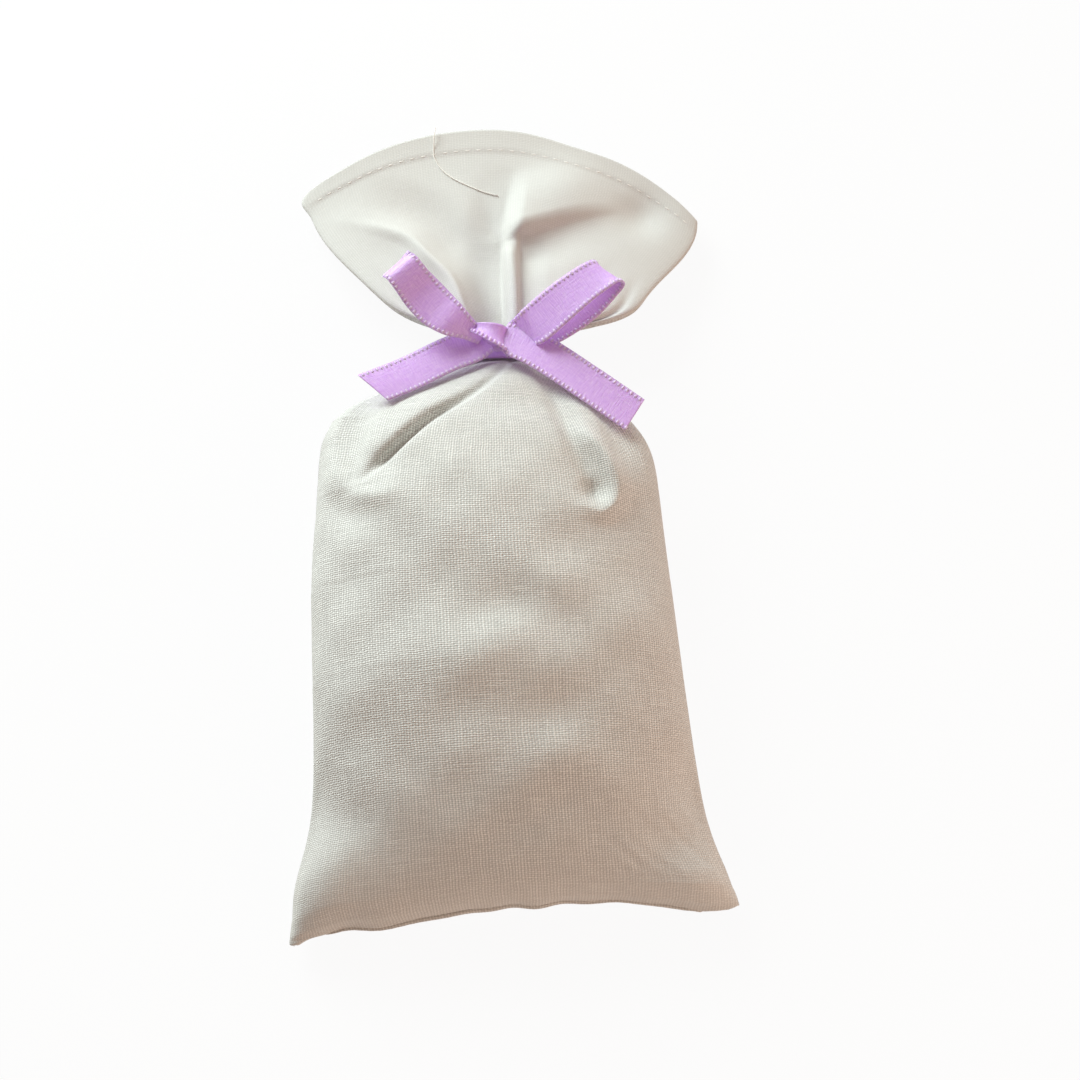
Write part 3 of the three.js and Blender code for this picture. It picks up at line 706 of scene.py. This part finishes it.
class Nodes:
    """Builds the node tree of a material, or of the world, with short calls."""

    def __init__(self, owner):
        owner.use_nodes = True
        self.owner = owner
        self.tree = owner.node_tree
        self.shader = self.tree.nodes.get("Principled BSDF")

    def put(self, kind, **inputs):
        node = self.tree.nodes.new(kind)
        self.fill(node, **inputs)
        return node

    def fill(self, node, **inputs):
        """Feeds inputs of a node, named with underscores for spaces."""
        for key, value in inputs.items():
            self.feed(node.inputs[key.replace("_", " ")], value)

    def feed(self, socket, value):
        if isinstance(value, bpy.types.NodeSocket):
            self.tree.links.new(value, socket)
        else:
            socket.default_value = value

    def math(self, operation, *values):
        node = self.tree.nodes.new("ShaderNodeMath")
        node.operation = operation
        for socket, value in zip(node.inputs, values):
            self.feed(socket, value)
        return node.outputs[0]

    def mix_colour(self, share, first, second, blend="MIX"):
        node = self.tree.nodes.new("ShaderNodeMix")
        node.data_type = "RGBA"
        node.blend_type = blend
        self.feed(node.inputs[0], share)
        self.feed(node.inputs[6], first)
        self.feed(node.inputs[7], second)
        return node.outputs[2]

    def bump(self, height, strength, depth):
        """A normal from a height, for a relief of a depth in millimetres."""
        return self.put("ShaderNodeBump", Height=height, Strength=strength, Distance=depth * MM).outputs[0]

    def flat_cloth(self):
        """The U and V of the flat cloth in millimetres."""
        node = self.tree.nodes.new("ShaderNodeUVMap")
        node.uv_map = "Weave"
        split = self.put("ShaderNodeSeparateXYZ", Vector=node.outputs[0])
        return split.outputs[0], split.outputs[1]

    def noise(self, u, v, detail, scale=1.0):
        place = self.put("ShaderNodeCombineXYZ", X=u, Y=v)
        return self.put("ShaderNodeTexNoise", Vector=place.outputs[0], Scale=scale, Detail=detail).outputs[0]

    def uneven(self, u, v, per_u, per_v, strength):
        """Noise with its own pace along U and V, spread from one half by a strength."""
        noise = self.noise(self.math("MULTIPLY", u, per_u), self.math("MULTIPLY", v, per_v), 3.0)
        return self.math("MULTIPLY_ADD", noise, strength, 0.5 - 0.5 * strength)


# The mean height of the weave, and its share of relief on the smoother mouth and drawn bottom
MEAN_HEIGHT = 0.92
MOUTH_WEAVE = 0.15
BOTTOM_WEAVE = 0.25

# Where along V the relief changes to that of the mouth, and to that of the drawn bottom
TO_MOUTH = (-4.0, 24.0)
FROM_BOTTOM = (-122.0, -82.0)

# How strongly the crossings of the weave show, and how much more on one diagonal; the extra on that diagonal
# is painted light, lighter as light from one corner would make it, as well as a higher bump
CHECKER = 0.3
SLANT_SHARE = 0.4


def weave_material(name, colour, warp_pitch, weft_pitch):
    """Plain weave on the flat cloth: warp and weft pass over each other, with thick and thin yarns and
    painted shade in the gaps between them.
    """
    nodes = Nodes(bpy.data.materials.new(name))
    u, v = nodes.flat_cloth()
    warp_noise = nodes.uneven(u, v, 1.9, 0.16, 2.0)
    weft_noise = nodes.uneven(u, v, 0.2, 2.6, 2.6)
    patches = nodes.uneven(u, v, 0.5, 0.8, 1.5)
    sway = nodes.math("MULTIPLY", nodes.noise(u, v, 4.0, scale=0.3), 0.6)
    turn_u = nodes.math("MULTIPLY", nodes.math("ADD", u, sway), math.pi / warp_pitch)
    turn_v = nodes.math("MULTIPLY", nodes.math("ADD", v, sway), math.pi / weft_pitch)
    cos_u = nodes.math("COSINE", turn_u)
    cos_v = nodes.math("COSINE", turn_v)
    sin_u = nodes.math("SINE", turn_u)
    sin_v = nodes.math("SINE", turn_v)
    crossing = nodes.math("MULTIPLY", cos_u, cos_v)
    over = nodes.math("MULTIPLY_ADD", crossing, 0.5, 0.5)
    under = nodes.math("SUBTRACT", 1.0, over)
    # The extra on one diagonal is painted light from one corner, in the colour as well as in the bump
    diagonal = nodes.math("MULTIPLY_ADD", nodes.math("MULTIPLY", sin_u, sin_v), SLANT_SHARE, crossing)
    warp = nodes.math("MULTIPLY", nodes.math("MULTIPLY", cos_u, cos_u), nodes.math("ADD", over, warp_noise))
    weft = nodes.math("MULTIPLY", nodes.math("MULTIPLY", cos_v, cos_v), nodes.math("ADD", under, weft_noise))
    slubs = nodes.math("MAXIMUM", nodes.math("SUBTRACT", weft_noise, 0.8), 0.0)
    height = nodes.math("ADD", nodes.math("ADD", warp, weft), slubs)
    height = nodes.math("MULTIPLY_ADD", nodes.math("MULTIPLY", diagonal, patches), 2 * CHECKER, height)
    to_mouth = nodes.put("ShaderNodeMapRange", Value=v, From_Min=TO_MOUTH[0], From_Max=TO_MOUTH[1],
                         To_Min=1.0, To_Max=MOUTH_WEAVE)
    to_mouth.interpolation_type = "SMOOTHSTEP"
    from_bottom = nodes.put("ShaderNodeMapRange", Value=v, From_Min=FROM_BOTTOM[0], From_Max=FROM_BOTTOM[1],
                            To_Min=BOTTOM_WEAVE, To_Max=1.0)
    relief = nodes.math("MULTIPLY", to_mouth.outputs[0], from_bottom.outputs[0])
    height = nodes.math("MULTIPLY_ADD", nodes.math("SUBTRACT", height, MEAN_HEIGHT), relief, MEAN_HEIGHT)
    # The colour follows the weave's height: the gaps between the yarns and the low places are painted darker,
    # a painted shade, and the raised crossings lighter; the thick and thin yarns' own tone rides on the same
    # height.
    shade = nodes.math("MINIMUM", nodes.math("MAXIMUM", nodes.math("MULTIPLY", height, 0.5), 0.0), 1.0)
    gap_shade_colour = darker(colour, 0.48)
    nodes.fill(nodes.shader, Base_Color=nodes.mix_colour(shade, gap_shade_colour, colour), Roughness=0.92,
               Specular_IOR_Level=0.15, Sheen_Weight=0.10, Sheen_Roughness=0.6,
               Normal=nodes.bump(height, 0.5, 0.14))
    return nodes.owner


def satin_material(name, colour, pale):
    """Satin with fine ribs and streaks, painted paler where they stand up: a painted sheen."""
    nodes = Nodes(bpy.data.materials.new(name))
    u, v = nodes.flat_cloth()
    ribs = nodes.uneven(u, v, 0.6, 4.0, 2.4)
    streaks = nodes.uneven(u, v, 3.4, 0.5, 2.0)
    height = nodes.math("ADD", ribs, nodes.math("MULTIPLY", streaks, 0.8))
    # The paler colour on the raised ribs and streaks is a painted sheen
    shade = nodes.mix_colour(nodes.math("MULTIPLY", height, 0.45), colour, pale)
    nodes.fill(nodes.shader, Base_Color=shade, Roughness=0.4, Specular_IOR_Level=0.75, Subsurface_Weight=0.3,
               Subsurface_Radius=(1.0, 0.7, 1.0), Subsurface_Scale=0.6 * MM, Sheen_Weight=0.3,
               Sheen_Roughness=0.35, Normal=nodes.bump(height, 0.6, 0.07))
    return nodes.owner


COTTON = weave_material("cotton weave", srgb(246, 244, 238), warp_pitch=0.56, weft_pitch=0.38)
# The second colour of each satin is its painted sheen, on the raised ribs and streaks
SATIN = satin_material("lilac satin", srgb(205, 156, 236), srgb(234, 204, 250))
SELVEDGE = satin_material("selvedge thread", srgb(224, 187, 243), srgb(240, 215, 251))


def plain_material(name, colour, roughness, grain, depth):
    """A matte thread or bud material with a fine grain."""
    nodes = Nodes(bpy.data.materials.new(name))
    place = nodes.put("ShaderNodeTexCoord").outputs["Object"]
    noise = nodes.put("ShaderNodeTexNoise", Vector=place, Scale=grain, Detail=3.0).outputs[0]
    nodes.fill(nodes.shader, Base_Color=nodes.mix_colour(noise, darker(colour, depth), colour),
               Roughness=roughness, Normal=nodes.bump(noise, 0.3, 0.05))
    return nodes.owner


THREAD = plain_material("sewing thread", srgb(243, 239, 232), roughness=0.8, grain=3000.0, depth=0.92)
BUDS = plain_material("dried buds", srgb(122, 108, 150), roughness=0.95, grain=900.0, depth=0.72)


CLOTH_THICKNESS = 0.35


def make_panel(name, side, grid):
    """A panel of cloth with its weave laid out flat, V measured from where the body meets the tie."""
    rows, columns = grid.shape[:2]
    middle = grid[:, columns // 2]
    run = run_along(middle)
    u = np.broadcast_to(np.linspace(0, BAG_WIDTH, columns), (rows, columns))
    v = np.broadcast_to(run[:, None] - run[BODY_END], (rows, columns))
    obj = add_mesh(name, grid.reshape(-1, 3), grid_faces(rows, columns, side < 0), COTTON)
    set_uv(obj, np.stack([u, v], axis=-1).reshape(-1, 2))
    thickness = obj.modifiers.new("cloth", "SOLIDIFY")
    thickness.thickness = CLOTH_THICKNESS * MM
    thickness.offset = -1
    return obj


front_grid, back_grid = cloth_grids()
shape_panel(front_grid, 1)
shape_panel(back_grid, -1)
front = make_panel("bag_front_cloth", 1, front_grid)
back = make_panel("bag_back_cloth", -1, back_grid)


# The ribbon

RIBBON = 0.26
SELVEDGE_PITCH = 0.93
SELVEDGE_INSET = 0.45
SELVEDGE_SIZE = (0.3, 0.5, 0.3)
RIBBON_STEPS = 120
RIBBON_COLUMNS = 15


def ribbon_piece(name, centres, sides, widths, cup=0.1, cut=0.0, selvedges=(0, -1)):
    """A stretch of satin ribbon with its selvedges. cut is how much longer its end is at one edge."""
    line = smooth_line(np.column_stack([centres, sides, widths]), RIBBON_STEPS)
    centre, across, width = line[:, :3], line[:, 3:6], line[:, 6]
    along = unit(np.gradient(centre, axis=0))
    across = unit(across - (across * along).sum(1, keepdims=True) * along)
    up = np.cross(along, across)
    share = np.linspace(-1, 1, RIBBON_COLUMNS)
    slant = cut * smoothstep(np.linspace(0, 1, RIBBON_STEPS), 0.7, 1)[:, None] * share[None, :]
    face = centre[:, None] + across[:, None] * (share[None, :, None] * width[:, None, None] / 2)
    face = face + up[:, None] * (cup * (1 - share ** 2))[None, :, None] + along[:, None] * slant[..., None]
    top = face + up[:, None] * RIBBON / 2
    under = face - up[:, None] * RIBBON / 2
    ring = np.concatenate([top, under[:, ::-1]], axis=1)
    faces = tube_faces(*ring.shape[:2])
    run = run_along(centre)
    u = np.concatenate([share, share[::-1]]) * RIBBON_WIDTH / 2
    uv = np.stack(np.broadcast_arrays(u[None, :], run[:, None]), axis=-1).reshape(-1, 2)
    points = ring.reshape(-1, 3)
    ribbon_faces = len(faces)
    for edge in selvedges:
        inside = np.sign(-share[edge]) * SELVEDGE_INSET
        line = np.hstack([face[:, edge] + across * inside, across, up])
        places, way = spaced(line, SELVEDGE_PITCH)
        side, rise = unit(places[:, 3:6]), unit(places[:, 6:9])
        more, more_faces = beads(places[:, :3], way, side, rise, SELVEDGE_SIZE)
        faces += [tuple(len(points) + corner for corner in f) for f in more_faces]
        uv = np.vstack([uv, more[:, :2]])
        points = np.vstack([points, more])
    obj = add_mesh(name, points, faces, SATIN)
    obj.data.materials.append(SELVEDGE)
    finish = np.zeros(len(faces), dtype=np.int32)
    finish[ribbon_faces:] = 1
    obj.data.polygons.foreach_set("material_index", finish)
    set_uv(obj, uv)
    return obj


def between_edges(name, upper, lower, **shape):
    """A stretch of ribbon given by places along its two edges."""
    upper, lower = np.array(upper, float), np.array(lower, float)
    widths = np.linalg.norm(lower - upper, axis=1)
    return ribbon_piece(name, (upper + lower) / 2, unit(lower - upper), widths, **shape)


def cloth_below(x, y, reach=0.9):
    """The highest place of the front cloth near a place in plan."""
    gap = np.hypot(front_grid[..., 0] - x, front_grid[..., 1] - y)
    near = gap < reach
    return front_grid[..., 2][near].max() if near.any() else 0.0


def tail_piece(name, plan, tilt, floor, widths, cut):
    """A tail that lies over the shoulder along a line in plan, its lower edge raised by a tilt."""
    line = smooth_line(plan, len(widths))
    way = unit(np.gradient(line, axis=0))
    across = np.stack([way[:, 1], -way[:, 0]], axis=-1)
    across *= np.sign(-across[:, 1:])
    lean_out = math.cos(math.radians(tilt))
    lift = math.sin(math.radians(tilt))
    heights = []
    for place, side in zip(line, across):
        height = floor
        for share in np.linspace(-1, 1, 7):
            x, y = place + side * share * lean_out * RIBBON_WIDTH / 2
            height = max(height, cloth_below(x, y) - share * lift * RIBBON_WIDTH / 2 + 0.35)
        heights.append(height)
    steps = np.linspace(-1, 1, len(line))
    bend = np.polyval(np.polyfit(steps, heights, 2), steps)
    heights = bend + max(0.0, (np.array(heights) - bend).max())
    sides = np.column_stack([across * lean_out, np.full(len(line), lift)])
    return ribbon_piece(name, np.column_stack([line, heights]), sides, widths, cut=cut)


left_tail = tail_piece(
    "ribbon_tail_left_satin", [(-2.0, 59.4), (-9.2, 56.6), (-16.2, 52.6), (-23.0, 49.2)],
    tilt=6, floor=17.8, widths=[4.6, 6.4] + [RIBBON_WIDTH] * 9, cut=-1.4)
right_tail = tail_piece(
    "ribbon_tail_right_satin", [(0.4, 59.6), (7.0, 56.4), (15.6, 50.4), (24.4, 44.0)],
    tilt=6, floor=19.8, widths=[5.4, 6.8] + [RIBBON_WIDTH] * 9, cut=0.3)
left_loop = between_edges(
    "ribbon_loop_left_satin",
    [(-2.6, 60.6, 18.6), (-4.6, 61.9, 21.4), (-6.9, 64.4, 23.0), (-9.2, 66.6, 23.2), (-11.6, 68.9, 23.9),
     (-13.8, 71.1, 25.6), (-15.2, 72.6, 26.3), (-16.3, 73.6, 25.3), (-15.4, 73.4, 23.4), (-8.4, 67.2, 19.7),
     (-2.4, 60.6, 17.6)],
    [(-4.2, 58.6, 18.4), (-7.0, 58.8, 20.7), (-10.7, 59.1, 22.5), (-14.2, 61.1, 22.8), (-17.0, 63.9, 23.7),
     (-18.9, 66.3, 25.4), (-20.3, 68.0, 26.1), (-21.2, 69.0, 25.1), (-20.0, 69.2, 23.2), (-12.4, 63.4, 19.5),
     (-4.6, 59.0, 17.4)])
right_loop = between_edges(
    "ribbon_loop_right_satin",
    [(0.6, 61.8, 18.4), (2.1, 62.4, 20.2), (3.9, 63.6, 22.0), (8.4, 66.6, 24.6), (12.8, 69.4, 26.0),
     (16.0, 71.2, 26.2), (17.2, 71.7, 25.0), (16.6, 71.1, 23.2), (11.5, 66.6, 20.7), (4.5, 62.2, 18.6),
     (0.8, 61.0, 17.4)],
    [(3.4, 58.6, 18.4), (6.8, 58.4, 21.0), (9.3, 58.4, 23.0), (14.1, 61.9, 25.6), (18.2, 65.1, 26.8),
     (21.2, 67.1, 27.0), (22.5, 67.6, 25.8), (22.2, 67.2, 23.4), (17.2, 62.8, 20.3), (10.0, 59.3, 18.4),
     (3.6, 58.8, 17.2)])
knot = between_edges(
    "ribbon_knot_satin",
    [(-5.6, 62.3, 17.2), (-5.2, 61.9, 19.6), (-4.0, 61.6, 21.2), (-2.2, 61.4, 21.9), (-0.5, 61.2, 21.9),
     (0.7, 61.0, 21.2), (1.3, 60.9, 19.6), (1.3, 60.8, 17.4)],
    [(-6.2, 60.7, 17.4), (-5.8, 60.3, 20.2), (-4.8, 59.5, 21.8), (-3.2, 58.4, 22.5), (-1.3, 57.3, 22.5),
     (0.5, 56.5, 21.8), (1.3, 56.2, 20.0), (1.4, 56.2, 17.4)], cup=0.55, selvedges=(-1,))
WRAP_RADII = (9.5, 3.9)
wrap_turns = np.linspace(0, 2 * math.pi, 33)
wrap = ribbon_piece(
    "ribbon_wrap_satin",
    [(math.cos(turn) * WRAP_RADII[0], TIE_Y, NECK_HEIGHT + math.sin(turn) * WRAP_RADII[1])
     for turn in wrap_turns],
    [(0, -1, 0)] * len(wrap_turns), [RIBBON_WIDTH - 1.2] * len(wrap_turns), cup=0.0, selvedges=())


def knot_core():
    """The turns of ribbon inside the knot, as a puckered cushion below its band."""
    points, faces = ball()
    points = np.sign(points) * np.abs(points) ** 0.8
    points = points * np.array([3.0, 1.9, 1.6])
    turn = math.radians(-38)
    x = points[:, 0] * math.cos(turn) - points[:, 1] * math.sin(turn)
    y = points[:, 0] * math.sin(turn) + points[:, 1] * math.cos(turn)
    places = np.column_stack([x - 1.6, y + 59.8, points[:, 2] + 17.4])
    obj = add_mesh("ribbon_knot_core", places, faces, SATIN)
    set_uv(obj, np.column_stack([x, y]))
    rounding = obj.modifiers.new("rounding", "SUBSURF")
    rounding.levels = 2
    rounding.render_levels = 2
    return obj


core = knot_core()


# Stitches, the loose thread and the filling

def stitch_row(name, points, across, pitch, body, thread):
    """A row of stitches along a line, each a short thread that dips into the cloth at its ends."""
    places, way = spaced(points, pitch)
    sides = unit(across - (way * across).sum(1, keepdims=True) * way)
    shape, faces = beads(places, way, sides, np.cross(way, sides), STITCH_SIZE)
    obj = add_mesh(name, shape, faces, THREAD)
    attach(obj, body)
    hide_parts(thread)


HEM_ROW = MOUTH_START + round((1 - HEM_DEPTH / FLARE_LENGTH) * FLARE_ROWS)
STITCH_SIZE = (0.5, 0.13, 0.04)
OUT = {"left": np.array([-1.0, 0.0, 0.0]), "right": np.array([1.0, 0.0, 0.0])}
UP = np.array([0.0, 0.0, 1.0])
ALONG = np.array([0.0, 1.0, 0.0])
SEAM_INSET = 0.7
HEM_PITCH = 2.2
SEAM_PITCH = 1.75

for name, grid in (("front", front_grid), ("back", back_grid)):
    stitch_row("hem_stitches_" + name, grid[HEM_ROW, 8:-8], ALONG, HEM_PITCH,
               "mouth_flare", "hem_thread_" + name)
for name, column in (("left", 0), ("right", -1)):
    line = front_grid[:, column] - OUT[name] * SEAM_INSET
    stitch_row("side_seam_stitches_" + name, line[8:BODY_END], OUT[name], SEAM_PITCH,
               "bag", "side_seam_thread_" + name)
    stitch_row("mouth_seam_stitches_" + name, line[MOUTH_START + 14:], OUT[name], SEAM_PITCH,
               "mouth_flare", "flare_seam_thread_" + name)
stitch_row("bottom_seam_stitches", front_grid[0, 4:-4] + ALONG * SEAM_INSET, UP, SEAM_PITCH,
           "bag", "bottom_seam_thread")


def thread_along(name, points, radius, sides=8):
    """A thin round thread through the points."""
    line = smooth_line(points, 40)
    way = unit(np.gradient(line, axis=0))
    first = unit(np.cross(way, UP))
    second = np.cross(way, first)
    turns = np.linspace(0, 2 * math.pi, sides, endpoint=False)
    ring = line[:, None] + radius * (first[:, None] * np.cos(turns)[None, :, None]
                                     + second[:, None] * np.sin(turns)[None, :, None])
    faces = tube_faces(len(line), sides)
    obj = add_mesh(name, ring.reshape(-1, 3), faces, THREAD)
    return obj


def over_cloth(points, clearance):
    """Places in plan, lifted just clear of the front cloth."""
    return [(x, y, cloth_below(x, y, 0.6) + clearance) for x, y in points]


HANGING = [(-13.3, 108.4, 6.6), (-13.5, 106.6, 6.8)]
LYING = [(-13.6, 104.4), (-13.5, 102.4), (-12.1, 99.8), (-9.8, 97.6), (-7.1, 96.0), (-3.8, 94.5),
         (-0.9, 93.6)]
loose = thread_along("loose_hem_thread", HANGING + over_cloth(LYING, 0.12), 0.11)
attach(loose, "mouth_flare")


BUD_COUNT = 420
BUD_SIZE = (2.2, 0.9, 0.9)
BUDS_INSET = 5.0


def make_buds():
    """The dried buds that fill the body: a settled mass just inside the cloth, with buds on its face."""
    rows = np.arange(int(0.09 * BODY_END), int(0.90 * BODY_END), 6)
    columns = np.arange(0, front_grid.shape[1], 6)
    upper = front_grid[np.ix_(rows, columns)]
    lower = back_grid[np.ix_(rows, columns)][:, -2:0:-1]
    ring = np.concatenate([upper, lower], axis=1)
    middle = ring.mean(axis=1, keepdims=True)
    for _ in range(6):
        ring = (np.roll(ring, 1, axis=1) + np.roll(ring, -1, axis=1) + 2 * ring) / 4
    ring = ring - outward(ring) * BUDS_INSET
    ring = lerp(ring, middle, 0.04)
    faces = tube_faces(*ring.shape[:2])
    points = ring.reshape(-1, 3)
    random = np.random.default_rng(11)
    chosen = random.choice(len(points), BUD_COUNT, replace=False)
    along = unit(random.normal(size=(len(chosen), 3)))
    side = unit(np.cross(along, random.normal(size=(len(chosen), 3))))
    more, more_faces = beads(points[chosen], along, side, np.cross(along, side), BUD_SIZE)
    faces += [tuple(len(points) + corner for corner in f) for f in more_faces]
    obj = add_mesh("lavender_buds", np.vstack([points, more]), faces, BUDS)
    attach(obj, "bag")
    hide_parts("lavender_filling")


make_buds()

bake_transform(front)
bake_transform(back)
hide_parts("front_panel", "front_flare")
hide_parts("back_panel", "back_flare")
for obj, body, node, way in ((left_tail, "bow_tail_left", "ribbon_tail_left", (-0.91, -0.42, 0)),
                             (right_tail, "bow_tail_right", "ribbon_tail_right", (0.86, -0.52, 0)),
                             (left_loop, "bow_loop_left", "ribbon_loop_left", (-0.84, 0.54, 0)),
                             (right_loop, "bow_loop_right", "ribbon_loop_right", (0.91, 0.42, 0))):
    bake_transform(obj)
    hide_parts(node)
for obj, node in ((knot, "ribbon_knot"), (core, "ribbon_knot"), (wrap, "ribbon_neck_wrap")):
    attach(obj, "bag")
    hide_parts(node)


# The floor, light and camera

def make_floor():
    """A pale floor that the camera sees as almost white."""
    nodes = Nodes(bpy.data.materials.new("pale floor"))
    nodes.fill(nodes.shader, Base_Color=(0.86, 0.86, 0.86, 1), Roughness=1.0, Specular_IOR_Level=0.0)
    path = nodes.tree.nodes.new("ShaderNodeLightPath")
    reflected = nodes.math("ADD", path.outputs["Is Glossy Ray"], path.outputs["Is Transmission Ray"])
    seen = nodes.math("MINIMUM", nodes.math("ADD", path.outputs["Is Camera Ray"], reflected), 1.0)
    glow = nodes.put("ShaderNodeEmission", Color=(1, 1, 1, 1), Strength=1.0)
    mix = nodes.tree.nodes.new("ShaderNodeMixShader")
    nodes.feed(mix.inputs[0], nodes.math("MULTIPLY", seen, 0.93))
    nodes.feed(mix.inputs[1], nodes.shader.outputs[0])
    nodes.feed(mix.inputs[2], glow.outputs[0])
    nodes.feed(nodes.tree.nodes["Material Output"].inputs[0], mix.outputs[0])
    size = 3000
    corners = [(-size, -size, 0), (size, -size, 0), (size, size, 0), (-size, size, 0)]
    floor = add_mesh("floor", corners, [(0, 1, 2, 3)], nodes.owner, smooth=False)


def add_area_light(name, place, aim, size, power, colour):
    light = bpy.data.lights.new(name, "AREA")
    light.size = size
    light.energy = power
    light.color = colour
    obj = bpy.data.objects.new(name, light)
    obj.location = place
    obj.rotation_euler = (Vector(aim) - Vector(place)).to_track_quat("-Z", "Y").to_euler()
    bpy.context.scene.collection.objects.link(obj)


def make_world():
    """A room that is cool on the window's side, warm on the other, and dim behind the camera."""
    nodes = Nodes(bpy.data.worlds.new("room"))
    bpy.context.scene.world = nodes.owner
    place = nodes.put("ShaderNodeTexCoord").outputs["Generated"]

    def along(direction, low, high, low_colour, high_colour):
        toward = nodes.put("ShaderNodeVectorMath")
        toward.operation = "DOT_PRODUCT"
        nodes.feed(toward.inputs[0], place)
        nodes.feed(toward.inputs[1], direction)
        share = nodes.put("ShaderNodeMapRange", Value=toward.outputs["Value"], From_Min=low, From_Max=high)
        share.interpolation_type = "SMOOTHSTEP"
        return nodes.mix_colour(share.outputs[0], low_colour, high_colour)

    tint = along((0.6, -0.8, 0), -0.7, 0.7, (1.0, 1.0, 0.98, 1), (1.05, 0.74, 0.58, 1))
    level = along((0, -0.5, 0.87), 0.1, 0.85, (0.84, 0.84, 0.84, 1), (0.17, 0.135, 0.12, 1))
    colour = nodes.mix_colour(1.0, tint, level, "MULTIPLY")
    nodes.fill(nodes.tree.nodes["Background"], Color=colour, Strength=1.0)


CAMERA_LENS = 62
CAMERA_AIM = (7.3, 22.8, 12.7)
CAMERA_DISTANCE = 338
CAMERA_ELEVATION = 75


def make_camera():
    data = bpy.data.cameras.new("camera")
    data.lens = CAMERA_LENS
    data.sensor_width = 36
    data.clip_start = 0.01
    camera = bpy.data.objects.new("camera", data)
    elevation = math.radians(CAMERA_ELEVATION)
    away = Vector((0, -math.cos(elevation), math.sin(elevation)))
    camera.location = Vector(CAMERA_AIM) * MM + away * CAMERA_DISTANCE * MM
    camera.rotation_euler = (math.pi / 2 - elevation, 0, 0)
    bpy.context.scene.collection.objects.link(camera)
    bpy.context.scene.camera = camera


make_floor()
make_world()
add_area_light("window", place=(-0.24, 0.37, 0.235), aim=(0, 0.04, 0.015), size=0.30, power=2.4,
               colour=(0.88, 1.0, 1.0))
add_area_light("room", place=(0.38, -0.30, 0.20), aim=(0.02, 0, 0.01), size=0.40, power=1.1,
               colour=(1.0, 0.80, 0.67))
make_camera()
bpy.context.scene.view_settings.view_transform = "Standard"
